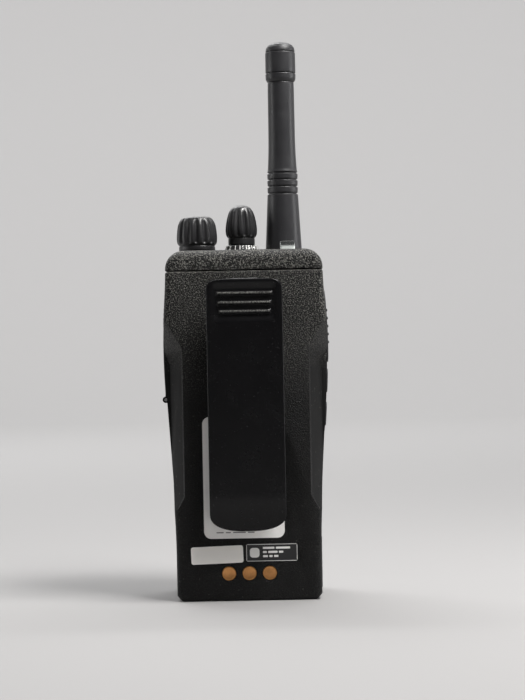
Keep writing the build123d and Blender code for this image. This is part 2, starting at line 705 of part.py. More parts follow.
WEDGE = [(-1.4, 0.4), (4.6, 0.4), (4.6, 2.0), (2.6, 8.0), (-1.4, 8.0)]
with BuildPart() as battery_latch:
    add(block(-10, 10, -6, 2.4, 0.4, 2.0))
    add(block(-12, 12, -6, -1.6, 2.45, 3.2))
    add(block(-10, 10, -6, -1.6, 1.9, 2.6))
    with BuildSketch(Plane.YZ.offset(-8)):
        with BuildLine():
            Polyline(*WEDGE, close=True)
        make_face()
    extrude(amount=16)
    # Ribs for the thumb on the underside
    for rib in range(3):
        add(block(-7, 7, -5.2 + 1.8 * rib, -4.5 + 1.8 * rib, 0.1, 0.5))
save("battery_latch", battery_latch.part)
with BuildPart() as latch_spring:
    add(coil(1.3, 0.18, 8.6, 6, Plane(origin=(0, -1.7, 5.2), z_dir=(0, -1, 0))))
save("latch_spring", latch_spring.part)

# ---------------------------------------------------------------- battery


def scoop(side):
    """The grip hollow of one side: wide at the back, and run out where it meets the side."""
    outlines = (
        (BATTERY_BACK + 0.2, ((27.4, 29.6), (22.8, 38.0), (22.8, 92.0), (29.2, 103.0), (40, 103.0), (40, 29.6))),
        (8.0, ((30.6, 35.6), (28.0, 44.0), (28.0, 86.0), (32.4, 97.0), (40, 97.0), (40, 35.6))),
    )
    with BuildPart() as cutter:
        for depth, outline in outlines:
            with BuildSketch(Plane.XZ.offset(-depth)) as section:
                with BuildLine():
                    Polyline(*[(side * x, z) for x, z in outline], close=True)
                make_face()
                bends = section.vertices().filter_by(lambda v: abs(v.X) < 28.5 and 36 < v.Z < 94)
                fillet(bends, radius=11)
        loft()
    return cutter.part


with BuildPart() as battery_case:
    add(casing(0))
    add(block(-FAR, FAR, PARTING_Y + 0.1, FAR, -1, BATTERY_TOP), mode=Mode.INTERSECT)
    fillet(battery_case.edges().filter_by(Axis.X).sort_by(Axis.Y)[-2:], radius=0.8)
    for side in (-1, 1):
        add(scoop(side), mode=Mode.SUBTRACT)
    # The room for the cells, and the pocket for the lid
    add(block(-20, 20, 0, 17, 9.2, 116), mode=Mode.SUBTRACT)
    add(back_bar(45.6, 107, 1.5, 0, 63.7, 0, 6.35), mode=Mode.SUBTRACT)
    # The slope that the latch holds, clear of it by 0.3 along Y
    with BuildSketch(Plane.YZ.offset(-8.3)):
        with BuildLine():
            Polyline((2.0, -0.5), (4.95, -0.5), (4.95, 1.85), (2.0, 10.7), close=True)
        make_face()
    extrude(amount=16.6, mode=Mode.SUBTRACT)
    # Seats for the charging contacts, and the sunk places for the labels
    for x in CONTACT_X:
        add(rod(Plane.XZ.offset(-18.6), CONTACT_R + 0.15, -3, x, CONTACT_Z), mode=Mode.SUBTRACT)
        add(rod(Plane.XZ.offset(-15), 1.25, -5, x, CONTACT_Z), mode=Mode.SUBTRACT)
    add(back_bar(29.5, 44.5, 2.8, 1.55, 44.85, BATTERY_BACK - 0.3, 21), mode=Mode.SUBTRACT)
    add(back_bar(19.1, 6.8, 0.8, -8.25, 17.4, BATTERY_BACK - 0.2, 21), mode=Mode.SUBTRACT)
    # Rails for the belt clip, each with a lip that points outwards
    for side in (-1, 1):
        add(block(*sorted((side * 6.5, side * 8.3)), 19.5, 22.0, *RAIL_Z))
        add(block(*sorted((side * 6.5, side * 9.9)), 21.3, 22.0, *RAIL_Z))
save("battery_case", battery_case.part)

with BuildPart() as battery_lid:
    add(back_bar(45.2, 106.6, 1.3, 0, 63.7, 2.7, 6.3))
    for x in (-SLIDE_RAIL_X, SLIDE_RAIL_X):
        for z in SLIDE_RAIL_Z:
            top = z + SLIDE_RAIL_LENGTH
            add(block(x - 2.5, x + 2.5, 3.5, 5.2, z - 0.5, top + SLIDE_TRAVEL + 1), mode=Mode.SUBTRACT)
            add(block(x - 1.3, x + 1.3, 2, 4, z - 0.5, top + SLIDE_TRAVEL + 1), mode=Mode.SUBTRACT)
            add(block(x - 2.5, x + 2.5, 2, 4, top + 0.5, top + SLIDE_TRAVEL + 1), mode=Mode.SUBTRACT)
    for x in TERMINAL_X:
        add(block(x - 1.0, x + 1.0, 2, 3.0, 12.2, 17.8), mode=Mode.SUBTRACT)
save("battery_lid", battery_lid.part)

with BuildPart() as battery_terminals:
    for x in TERMINAL_X:
        add(block(x - 0.95, x + 0.95, 2.75, 3.0, 12.3, 17.7))
save("battery_terminals", battery_terminals.part)

with BuildPart() as battery_cells:
    for cell_z in CELL_Z:
        with BuildSketch(Plane.XY.offset(cell_z)):
            with Locations((0, 11.65)):
                RectangleRounded(36, 8.6, 3.5)
        extrude(amount=CELL_HEIGHT)
    fillet(battery_cells.faces().filter_by(Axis.Z).edges(), radius=0.6)
save("battery_cells", battery_cells.part)

with BuildPart() as battery_board:
    add(block(-18, 18, 10.2, 11.4, 9.6, 20.6))
    for x, z, width, height in ((-10, 15, 5, 6), (3, 16, 8, 4), (12, 14, 4, 4)):
        add(block(x - width / 2, x + width / 2, 8.8, 10.3, z - height / 2, z + height / 2))
save("battery_board", battery_board.part)

with BuildPart() as charge_contacts:
    for x in CONTACT_X:
        add(rod(Plane.XZ.offset(-18.6), CONTACT_R, -1.0, x, CONTACT_Z))
        add(rod(Plane.XZ.offset(-16.4), 1.2, -2.4, x, CONTACT_Z))
save("charge_contacts", charge_contacts.part)

with BuildPart() as rating_label:
    add(back_bar(29.3, 44.3, 2.7, 1.55, 44.85, BATTERY_BACK - 0.3, BATTERY_BACK - 0.1))
save("rating_label", rating_label.part)
with BuildPart() as battery_sticker:
    add(back_bar(18.9, 6.3, 0.8, 11.6, 16.85, BATTERY_BACK, BATTERY_BACK + 0.12, -1.7))
save("battery_sticker", battery_sticker.part)
with BuildPart() as approval_label:
    add(back_bar(18.9, 6.6, 0.7, -8.25, 17.4, BATTERY_BACK - 0.2, BATTERY_BACK - 0.05))
save("approval_label", approval_label.part)

# ---------------------------------------------------------------- belt clip

with BuildPart() as clip_bracket:
    add(block(-12, 12, 22.3, 23.7, RAIL_Z[0] - 1, RAIL_Z[1]))
    for side in (-1, 1):
        wall_x = sorted((side * 10.4, side * 12.0))
        hook_x = sorted((side * 8.8, side * 10.5))
        add(block(*wall_x, 20.3, 23.7, RAIL_Z[0] - 1, PIN_Z))
        add(block(*hook_x, 20.3, 21.0, RAIL_Z[0] - 1, RAIL_Z[1]))
        add(rod(Plane.YZ.offset(wall_x[0]), 1.75, 1.6, PIN_Y, PIN_Z))
    add(rod(Plane.YZ.offset(-15), 1.03, 30, PIN_Y, PIN_Z), mode=Mode.SUBTRACT)
save("clip_bracket", clip_bracket.part)

with BuildPart() as clip_pin:
    add(rod(Plane.YZ.offset(-12), 1.0, 24, PIN_Y, PIN_Z))
save("clip_pin", clip_pin.part)

with BuildPart() as clip_spring:
    add(coil(1.45, 0.3, 9, 11, Plane(origin=(-4.5, PIN_Y, PIN_Z), z_dir=(1, 0, 0))))
save("clip_spring", clip_spring.part)

THUMB_RIBS = ((111.5, 20.4), (108.1, 19.6), (104.9, 18.8))
with BuildPart() as clip_lever:
    with BuildSketch(Plane.XZ.offset(-20)):
        with BuildLine():
            ThreePointArc((0, CLIP_HIGH), (5.3, CLIP_HIGH - 0.17), (10.6, CLIP_HIGH - 0.7))
            ThreePointArc((10.6, CLIP_HIGH - 0.7), (12.9, CLIP_HIGH - 1.65), (CLIP_HALF, CLIP_HIGH - 4.1))
            Line((CLIP_HALF, CLIP_HIGH - 4.1), (CLIP_HALF, 31.5))
            ThreePointArc((CLIP_HALF, 31.5), (10.2, 27.5), (0, CLIP_LOW))
            mirror(about=Plane.YZ)
        make_face()
    extrude(amount=20 - CLIP_BACK)
    fillet(clip_lever.faces().sort_by(Axis.Y)[-1].edges(), radius=0.8)
    with BuildSketch(Plane.YZ):
        with BuildLine():
            Polyline(
                (CLIP_INNER, 118), (CLIP_BACK, 118), (CLIP_BACK, 33), (25.6, 25.5), (20.4, 25.5), (20.4, 27.5),
                (22.6, 33.0), (CLIP_INNER, 40), close=True,
            )
        make_face()
    extrude(amount=FAR, both=True, mode=Mode.INTERSECT)
    # A sunk place for the thumb with three ribs across it
    add(back_bar(22.4, 12.4, 2.0, 0, 108.4, CLIP_BACK - 0.8, CLIP_BACK + 2), mode=Mode.SUBTRACT)
    for rib_z, rib_width in THUMB_RIBS:
        add(back_bar(rib_width, 1.2, 0.5, 0, rib_z, CLIP_BACK - 1.0, CLIP_BACK - 0.1))
    # Lugs that turn on the pin between the bracket's ears
    for side in (-1, 1):
        lug_x = sorted((side * 7.6, side * 10.1))
        add(rod(Plane.YZ.offset(lug_x[0]), 1.7, 2.5, PIN_Y, PIN_Z))
        add(block(*lug_x, PIN_Y, CLIP_INNER + 0.2, PIN_Z - 1.7, PIN_Z + 1.7))
    add(rod(Plane.YZ.offset(-10.3), 1.05, 20.6, PIN_Y, PIN_Z), mode=Mode.SUBTRACT)
save("clip_lever", clip_lever.part)
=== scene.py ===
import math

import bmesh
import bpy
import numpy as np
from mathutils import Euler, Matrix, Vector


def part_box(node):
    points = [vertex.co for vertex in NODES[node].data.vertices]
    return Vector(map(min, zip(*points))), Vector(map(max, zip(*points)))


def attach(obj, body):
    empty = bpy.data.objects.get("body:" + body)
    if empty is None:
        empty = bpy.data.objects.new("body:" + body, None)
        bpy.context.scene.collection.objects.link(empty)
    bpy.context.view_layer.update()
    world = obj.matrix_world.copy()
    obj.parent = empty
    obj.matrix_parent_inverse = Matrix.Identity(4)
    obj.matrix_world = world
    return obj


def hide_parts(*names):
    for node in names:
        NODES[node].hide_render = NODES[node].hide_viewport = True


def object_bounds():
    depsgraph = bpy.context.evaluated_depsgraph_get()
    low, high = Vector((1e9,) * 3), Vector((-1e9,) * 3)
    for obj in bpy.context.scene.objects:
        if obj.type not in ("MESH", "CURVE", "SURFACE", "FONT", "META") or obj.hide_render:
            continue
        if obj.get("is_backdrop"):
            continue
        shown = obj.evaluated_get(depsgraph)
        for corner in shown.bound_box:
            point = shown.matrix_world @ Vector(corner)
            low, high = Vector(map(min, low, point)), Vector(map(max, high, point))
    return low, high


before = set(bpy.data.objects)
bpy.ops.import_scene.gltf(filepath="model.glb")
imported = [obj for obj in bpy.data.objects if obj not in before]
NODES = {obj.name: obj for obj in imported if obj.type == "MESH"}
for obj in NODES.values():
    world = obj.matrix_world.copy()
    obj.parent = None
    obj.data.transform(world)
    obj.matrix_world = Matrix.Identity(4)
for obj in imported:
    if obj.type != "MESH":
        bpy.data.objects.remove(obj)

# %% [markdown]
# # A hand-held two way radio, finished in Blender
# The lines above load the engineering model of the radio: every case, board, screw and spring,
# already in its real place and size. This lesson gives that model its looks. Hard mouldings that
# are right as they are get a real finish. Pieces that a hand or an eye meets first, such as the
# knobs, the antenna and the belt clip, are made again as finer surfaces in the same place.
# Everything is in metres, Z is up, and the battery's back faces +Y.

MM = 0.001
CAD_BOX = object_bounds()
low, high = (np.array(corner) for corner in CAD_BOX)
print("model size in mm:", np.round((high - low) / MM, 1))

# %% [markdown]
# ## The camera
# The radio is seen square on from behind, from about 0.7 m, the way a person holds a phone over
# something on a table. A long lens keeps its sides nearly parallel. The small roll is real: nobody
# holds a camera perfectly level.

# %% Camera
CAMERA_AT = Vector((-0.00625, 0.717, 0.0909))
CAMERA_ROLL = math.radians(-1.1)
LENS_MM = 98.8
camera_data = bpy.data.cameras.new("camera")
camera_data.lens = LENS_MM
camera_data.sensor_width = 36.0
camera_data.clip_start = 0.01
camera = bpy.data.objects.new("camera", camera_data)
bpy.context.scene.collection.objects.link(camera)
camera.location = CAMERA_AT
camera.rotation_euler = Euler((math.pi / 2, 0, math.pi), "XYZ")
camera.rotation_euler.rotate_axis("Z", CAMERA_ROLL)
bpy.context.scene.camera = camera
print("camera is", round(CAMERA_AT.y, 3), "m behind the radio")

# %% [markdown]
# ## The set
# A pale round floor that sweeps up into a wall has no visible corner, so the background stays
# plain from every side. It is one profile, a line, a quarter turn and a line, turned round. It
# stands more than two metres away, so that a camera on any side stays clear of it.

# %% A function that turns a grid of points into a mesh


def grid_mesh(name, grid, wrap=True, weld=True):
    """A mesh object over an array of points of shape (rows, columns, 3).

    Four neighbouring points make a face. With wrap, the last column joins the first, as round a
    tube. Points that fall on each other, as at a pole or a seam, are merged into one.
    """
    rows, columns, _ = grid.shape
    last = columns if wrap else columns - 1
    row, column = np.meshgrid(np.arange(rows - 1), np.arange(last), indexing="ij")
    a = row * columns + column
    b = row * columns + (column + 1) % columns
    faces = np.stack([a, b, b + columns, a + columns], axis=-1).reshape(-1, 4)
    mesh = bpy.data.meshes.new(name)
    mesh.from_pydata(grid.reshape(-1, 3).tolist(), [], faces.tolist())
    if weld:
        work = bmesh.new()
        work.from_mesh(mesh)
        bmesh.ops.remove_doubles(work, verts=work.verts, dist=1e-7)
        bmesh.ops.recalc_face_normals(work, faces=work.faces)
        work.to_mesh(mesh)
        work.free()
    mesh.shade_smooth()
    made = bpy.data.objects.new(name, mesh)
    bpy.context.scene.collection.objects.link(made)
    return made


# %% Floor and backdrop
FLOOR_R = 1.7
SWEEP_R = 0.9
WALL_TOP = 3.5
rise = np.linspace(0, math.pi / 2, 24)
profile_r = np.concatenate([[0.0], FLOOR_R + SWEEP_R * np.sin(rise), [FLOOR_R + SWEEP_R]])[:, None]
profile_z = np.concatenate([[0.0], SWEEP_R * (1 - np.cos(rise)), [WALL_TOP]])[:, None]
way_round = np.linspace(0, 2 * math.pi, 96, endpoint=False)[None, :]
sweep = np.stack([
    profile_r * np.cos(way_round),
    profile_r * np.sin(way_round),
    np.broadcast_to(profile_z, (profile_z.size, way_round.size)),
], axis=-1)
backdrop = grid_mesh("backdrop", sweep)
backdrop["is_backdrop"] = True
print("backdrop of", len(backdrop.data.polygons), "faces")

# %% [markdown]
# ## How a finish is built
# Each finish is one Principled shader. Its constant numbers sit on the shader's own sockets, and
# only what really varies over a surface, such as grain, dust and rubbed edges, is wired up from
# noise in the object's own coordinates. A few small helpers keep that readable.

# %% Helpers for shader nodes


def new_node(tree, kind, inputs=None, **settings):
    """Adds a node, sets its settings, and feeds its inputs with values or other nodes' outputs."""
    made = tree.nodes.new(kind)
    for key, value in settings.items():
        setattr(made, key, value)
    for key, value in (inputs or {}).items():
        if isinstance(value, bpy.types.NodeSocket):
            tree.links.new(value, made.inputs[key])
        else:
            made.inputs[key].default_value = value
    return made


def new_finish(name, colour, roughness, **constants):
    """A material with one Principled shader, and the tree and object coordinates to build on."""
    material = bpy.data.materials.new(name)
    material.use_nodes = True
    tree = material.node_tree
    shader = tree.nodes["Principled BSDF"]
    shader.inputs["Base Color"].default_value = (*colour, 1.0)
    shader.inputs["Roughness"].default_value = roughness
    for key, value in constants.items():
        shader.inputs[key.replace("_", " ").title().replace("Ior", "IOR")].default_value = value
    place = new_node(tree, "ShaderNodeTexCoord").outputs["Object"]
    return material, tree, shader, place


def noise(tree, place, scale, detail=2.0, rough=0.5):
    """Soft random blotches, from 0 to 1, about one over scale metres wide."""
    settings = {"Vector": place, "Scale": scale, "Detail": detail, "Roughness": rough}
    return new_node(tree, "ShaderNodeTexNoise", settings).outputs["Fac"]


def remap(tree, value, from_low, from_high, to_low, to_high):
    """Stretches a value from one range to another, and stops at the ends."""
    source = {"Value": value, "From Min": from_low, "From Max": from_high}
    target = {"To Min": to_low, "To Max": to_high}
    return new_node(tree, "ShaderNodeMapRange", source | target).outputs["Result"]


def math_node(tree, operation, first, second=0.0):
    """One sum on two values or outputs."""
    return new_node(tree, "ShaderNodeMath", {0: first, 1: second}, operation=operation).outputs[0]


def blend_colours(tree, factor, first, second):
    """Mixes two colours by a factor from 0 to 1."""
    mix = new_node(tree, "ShaderNodeMix", data_type="RGBA")
    tree.links.new(factor, mix.inputs["Factor"])
    for socket, value in ((mix.inputs[6], first), (mix.inputs[7], second)):
        if isinstance(value, bpy.types.NodeSocket):
            tree.links.new(value, socket)
        else:
            socket.default_value = (*value, 1.0)
    return mix.outputs[2]


def bump(tree, shader, height, depth, strength=1.0):
    """Dents the surface by a height from 0 to 1 that is depth metres deep."""
    numbers = {"Height": height, "Distance": depth, "Strength": strength}
    dent = new_node(tree, "ShaderNodeBump", numbers)
    tree.links.new(dent.outputs["Normal"], shader.inputs["Normal"])


# %% [markdown]
# ## Sand-textured black plastic
# The cases are moulded in a tool that was etched, which leaves a coarse grain like fine sand. The
# grain is what the eye sees, and its sparkle is painted: the grain tips are tinted pale as painted
# sparkle, strongest at the top and fading towards the foot as painted light falloff, so the lower
# plastic reads flat black. Two sizes of noise, added up, both dent the surface and place the painted
# sparkle. The hollows for the fingers are polished in the tool, so there the grain and its painted
# sparkle fade out. Soft patches vary the gloss and the painted sparkle, and a few specks of dust lie on top.

# %% The grained finish
GRAIN_SCALES = (2000, 4400)
GRAIN_DEPTH = 0.14 * MM
# Painted sparkle: the pale tint on the grain tips stands in for light glinting on the grain. The two heights
# below set where this painted sparkle fades out towards the foot, which is a painted light falloff.
GRAIN_SPARKLE_TINT = (0.19, 0.187, 0.17)
SPARKLE_FADED_BELOW, SPARKLE_FULL_ABOVE = 72 * MM, 122 * MM


def grained_plastic(name, shade, grip=None):
    """Black plastic with a sand grain. Its tips are tinted pale as painted sparkle, which fades downwards as
    painted light falloff. grip, a function of the tree, gives where it is smooth.
    """
    colour = (shade, shade, shade * 1.02)
    material, tree, shader, place = new_finish(name, colour, 0.42, specular_ior_level=0.14)
    coarse, fine = (noise(tree, place, scale, 1.0, 0.5) for scale in GRAIN_SCALES)
    coarse_share = math_node(tree, "MULTIPLY", coarse, 0.6)
    fine_share = math_node(tree, "MULTIPLY", fine, 0.4)
    grain = math_node(tree, "ADD", coarse_share, fine_share)
    height = remap(tree, grain, 0.38, 0.62, 0.0, 1.0)
    patches = noise(tree, place, 60, 3.0, 0.6)
    up = new_node(tree, "ShaderNodeSeparateXYZ", {"Vector": place}).outputs["Z"]
    # Painted light falloff: the painted sparkle is full high up and fades to very little near the foot.
    sparkle_falloff = remap(tree, up, SPARKLE_FADED_BELOW, SPARKLE_FULL_ABOVE, 0.06, 1.0)
    sparkle_amount = math_node(tree, "MULTIPLY", sparkle_falloff, remap(tree, patches, 0.35, 0.65, 0.75, 1.0))
    # Painted sparkle: the grain tips that stand highest get the pale tint, in place of glints of light.
    painted_sparkle = math_node(tree, "MULTIPLY", remap(tree, grain, 0.51, 0.62, 0.0, 1.0), sparkle_amount)
    rough = remap(tree, patches, 0.3, 0.7, 0.38, 0.46)
    if grip is not None:
        smooth_here = grip(tree, place)
        keep = math_node(tree, "SUBTRACT", 1.0, math_node(tree, "MULTIPLY", smooth_here, 0.92))
        height = math_node(tree, "MULTIPLY", height, keep)
        painted_sparkle = math_node(tree, "MULTIPLY", painted_sparkle, keep)
        rough = math_node(tree, "ADD", rough, math_node(tree, "MULTIPLY", smooth_here, 0.12))
    speck = remap(tree, noise(tree, place, 900, 0.0), 0.77, 0.80, 0.0, 0.16)
    # The dust specks and the painted sparkle share the same pale tint.
    pale = math_node(tree, "MAXIMUM", painted_sparkle, speck)
    tree.links.new(blend_colours(tree, pale, colour, GRAIN_SPARKLE_TINT), shader.inputs["Base Color"])
    tree.links.new(rough, shader.inputs["Roughness"])
    bump(tree, shader, height, GRAIN_DEPTH)
    return material


def battery_grip(tree, place):
    """1 in the polished hollows at the battery's sides, 0 on its flat back and its ends."""
    split = new_node(tree, "ShaderNodeSeparateXYZ", {"Vector": place})
    x, z = math_node(tree, "ABSOLUTE", split.outputs["X"]), split.outputs["Z"]
    lower = remap(tree, z, 30 * MM, 38 * MM, 27.2 * MM, 23.1 * MM)
    upper = remap(tree, z, 92 * MM, 103 * MM, 23.1 * MM, 29.2 * MM)
    edge = math_node(tree, "MAXIMUM", lower, upper)
    inside = remap(tree, math_node(tree, "SUBTRACT", x, edge), 0.0, 0.5 * MM, 0.0, 1.0)
    below_top = remap(tree, z, 82 * MM, 92 * MM, 1.0, 0.0)
    return math_node(tree, "MULTIPLY", inside, below_top)


HOUSING_BLACK = grained_plastic("housing_sand_black", 0.006)
BATTERY_BLACK = grained_plastic("battery_sand_black", 0.005, battery_grip)
print("grained finishes:", HOUSING_BLACK.name, BATTERY_BLACK.name)

# %% [markdown]
# ## Smooth plastics and rubber
# The clip is glossy and shows fine scratches and dust. Knobs and keys are satin. The antenna is
# rubber over a spring, with a very fine skin. They share one function that takes the amount of
# grain, how uneven the gloss is, and how much dust has settled.

# %% A function for smooth finishes


def smooth_finish(
    name, colour, roughness, grain_mm=0.0, grain_scale=3000, uneven=0.06, dust=0.03, specks=0.15, **constants
):
    """A smooth surface whose gloss varies by uneven, with a film of dust, specks and a fine grain."""
    material, tree, shader, place = new_finish(name, colour, roughness, **constants)
    cloud = noise(tree, place, 120, 3.0, 0.6)
    rough = remap(tree, cloud, 0.3, 0.7, roughness - uneven, roughness + uneven)
    tree.links.new(rough, shader.inputs["Roughness"])
    speck = remap(tree, noise(tree, place, 1500, 1.0), 0.70, 0.80, 0.0, 1.0)
    film = remap(tree, cloud, 0.45, 0.75, 0.0, dust)
    settled = math_node(tree, "MAXIMUM", math_node(tree, "MULTIPLY", speck, specks), film)
    grey = tuple(0.5 * channel + 0.09 for channel in colour)
    tree.links.new(blend_colours(tree, settled, colour, grey), shader.inputs["Base Color"])
    if grain_mm:
        bump(tree, shader, noise(tree, place, grain_scale, 1.0), grain_mm * MM)
    return material


THUMB_RIBS = ((111.5, 10.2), (108.1, 9.8), (104.9, 9.4))


def clip_finish():
    """Gloss black, with a pale band painted along the upper side of each thumb rib's crest. The band is a
    painted highlight of the light from above, broken into specks like scuffing.
    """
    gloss = smooth_finish(
        "clip_gloss_black", (0.003, 0.003, 0.0035), 0.26, 0.010, 2600, uneven=0.02, dust=0.01, specks=0.35,
        specular_ior_level=0.25,
    )
    tree = gloss.node_tree
    shader = tree.nodes["Principled BSDF"]
    clean = shader.inputs["Base Color"].links[0].from_socket
    place = new_node(tree, "ShaderNodeTexCoord").outputs["Object"]
    split = new_node(tree, "ShaderNodeSeparateXYZ", {"Vector": place})
    across = math_node(tree, "ABSOLUTE", split.outputs["X"])
    # Painted highlight: a pale grey band along the upper side of each rib crest stands in for light falling
    # from above, broken up into specks.
    crests = 0.0
    for rib_z, rib_half in THUMB_RIBS:
        above = math_node(tree, "SUBTRACT", split.outputs["Z"], (rib_z + 0.1) * MM)
        off = math_node(tree, "ABSOLUTE", above)
        band = remap(tree, off, 0.15 * MM, 0.5 * MM, 1.0, 0.0)
        within = remap(tree, across, (rib_half - 0.7) * MM, rib_half * MM, 1.0, 0.0)
        crests = math_node(tree, "MAXIMUM", crests, math_node(tree, "MULTIPLY", band, within))
    highlight_speckle = remap(tree, noise(tree, place, 1900, 2.0, 0.6), 0.40, 0.66, 0.15, 1.0)
    rib_highlight_painted = math_node(tree, "MULTIPLY", crests, highlight_speckle)
    tree.links.new(blend_colours(tree, rib_highlight_painted, clean, (0.16, 0.16, 0.15)), shader.inputs["Base Color"])
    return gloss


CLIP_BLACK = clip_finish()
BRACKET_BLACK = smooth_finish("bracket_black", (0.012, 0.012, 0.013), 0.42, 0.01)
KNOB_BLACK = smooth_finish("knob_satin_black", (0.013, 0.013, 0.014), 0.40, 0.02, 3400, 0.05, 0.04)
RING_BLACK = smooth_finish("ring_black", (0.016, 0.016, 0.017), 0.45, 0.03, 2600)
BEZEL_BLACK = smooth_finish("bezel_satin_black", (0.014, 0.014, 0.015), 0.38, 0.015, 3000)
KEY_RUBBER = smooth_finish("key_rubber_black", (0.018, 0.018, 0.019), 0.58, 0.02, 3600, 0.05, 0.04)
COVER_RUBBER = smooth_finish("cover_rubber_black", (0.017, 0.017, 0.018), 0.55, 0.03, 2600, 0.05, 0.04)
ANTENNA_RUBBER = smooth_finish("antenna_rubber_black", (0.016, 0.016, 0.018), 0.43, 0.03, 2600, 0.05, 0.04)
SEAL_RUBBER = smooth_finish("seal_rubber_grey", (0.06, 0.06, 0.07), 0.6)
LATCH_BLACK = smooth_finish("latch_black", (0.016, 0.016, 0.017), 0.45, 0.02)
CHIP_BLACK = smooth_finish("chip_epoxy", (0.02, 0.02, 0.021), 0.55, 0.02)
CELL_BLUE = smooth_finish("cell_sleeve_blue", (0.03, 0.11, 0.30), 0.3, 0.0, uneven=0.04)
WHITE_INK = smooth_finish("white_ink", (0.80, 0.80, 0.78), 0.5, uneven=0.03, dust=0.05)
GREY_INK = smooth_finish("grey_ink", (0.22, 0.21, 0.21), 0.5, uneven=0.03, dust=0.05)
STICKER_WHITE = smooth_finish("sticker_white", (0.90, 0.88, 0.84), 0.50, 0.004, 1800, 0.05, 0.04)
LABEL_SILVER = smooth_finish("label_silver", (0.88, 0.87, 0.85), 0.36, 0.003, 900, 0.05, 0.05)
LABEL_BLACK = smooth_finish("label_black", (0.011, 0.011, 0.012), 0.33, 0.003, 900, 0.05, 0.06)
SPEAKER_PULP = smooth_finish("speaker_cone_pulp", (0.05, 0.045, 0.04), 0.8, 0.05, 1500)

# %% [markdown]
# ## Metals and the rest
# A metal part carries the marks of how it was made: lines from a lathe, brushing, or the dull
# grain of a casting. Circuit boards are green lacquer over copper tracks, which show as slightly
# lighter lines. The light pipe is clear plastic, and the cloth behind the grille is a plain weave.

# %% Metals, board, lens and cloth


def metal_finish(name, colour, roughness, grain_mm, grain_scale):
    """Bare metal with uneven tarnish and a fine grain."""
    material, tree, shader, place = new_finish(name, colour, roughness, metallic=1.0)
    cloud = noise(tree, place, 260, 4.0, 0.65)
    rough = remap(tree, cloud, 0.3, 0.7, roughness - 0.1, roughness + 0.12)
    tree.links.new(rough, shader.inputs["Roughness"])
    dull = tuple(0.55 * channel for channel in colour)
    tarnish = remap(tree, cloud, 0.45, 0.8, 0.0, 0.7)
    tree.links.new(blend_colours(tree, tarnish, colour, dull), shader.inputs["Base Color"])
    bump(tree, shader, noise(tree, place, grain_scale, 2.0), grain_mm * MM)
    return material


STEEL = metal_finish("zinc_plated_steel", (0.52, 0.52, 0.53), 0.34, 0.006, 5000)
SPRING_STEEL = metal_finish("spring_wire", (0.44, 0.44, 0.45), 0.28, 0.003, 6000)
BRASS = metal_finish("turned_brass", (0.76, 0.58, 0.30), 0.3, 0.006, 5000)
BRONZE = metal_finish("contact_bronze", (0.66, 0.32, 0.12), 0.36, 0.012, 2600)
GOLD = metal_finish("gold_flash", (0.86, 0.66, 0.30), 0.28, 0.004, 5000)
CASTING = metal_finish("die_cast_alloy", (0.55, 0.55, 0.57), 0.5, 0.05, 1700)
MAGNET_PLATE = metal_finish("magnet_plating", (0.42, 0.42, 0.43), 0.32, 0.004, 5000)
PLATE_SATIN = metal_finish("nameplate_satin", (0.20, 0.21, 0.22), 0.42, 0.006, 6000)


def board_finish():
    """Green lacquer, with copper tracks showing through as straight bands of lighter green."""
    material, tree, shader, place = new_finish("board_lacquer", (0.01, 0.10, 0.04), 0.32, coat_weight=0.3)
    bands = new_node(
        tree, "ShaderNodeTexBrick",
        {"Vector": place, "Scale": 260.0, "Mortar Size": 0.05, "Brick Width": 1.6, "Row Height": 0.4},
    ).outputs["Fac"]
    lacquer = blend_colours(tree, bands, (0.008, 0.085, 0.035), (0.03, 0.17, 0.07))
    tree.links.new(lacquer, shader.inputs["Base Color"])
    bump(tree, shader, bands, 0.02 * MM)
    return material


def lens_finish():
    """Clear plastic that passes light, frosted at its foot where the lamp sits under it."""
    material, tree, shader, place = new_finish("light_pipe_clear", (0.80, 0.84, 0.82), 0.08, ior=1.49)
    height = new_node(tree, "ShaderNodeSeparateXYZ", {"Vector": place}).outputs["Z"]
    clear = remap(tree, height, 128.6 * MM, 129.6 * MM, 0.15, 0.97)
    tree.links.new(clear, shader.inputs["Transmission Weight"])
    bump(tree, shader, noise(tree, place, 700, 2.0), 0.02 * MM)
    return material


def cloth_finish():
    """Black acoustic cloth: two sets of threads at right angles, as high and low bands."""
    material, tree, shader, place = new_finish("speaker_cloth", (0.012, 0.012, 0.012), 0.85, sheen_weight=0.3)
    split = new_node(tree, "ShaderNodeSeparateXYZ", {"Vector": place})
    per_thread = 2 * math.pi / (0.45 * MM)
    across, up = (math_node(tree, "MULTIPLY", split.outputs[axis], per_thread) for axis in ("X", "Z"))
    weave = math_node(tree, "MULTIPLY", math_node(tree, "SINE", across), math_node(tree, "SINE", up))
    bump(tree, shader, remap(tree, weave, -1.0, 1.0, 0.0, 1.0), 0.08 * MM)
    return material


BOARD_GREEN = board_finish()
LENS_CLEAR = lens_finish()
SPEAKER_CLOTH = cloth_finish()
print("finishes made:", len(bpy.data.materials))

# %% [markdown]
# ## Giving the fitted parts their finish
# Most parts keep the engineering shape, because that is their real shape. They only swap their
# plain material for a finish. The cases are another matter. A moulding has no knife-sharp edge
# anywhere, so a copy of each outer moulding is welded into one skin and its corners are rolled
# with a small bevel, which is what catches a thin line of light on the real thing.

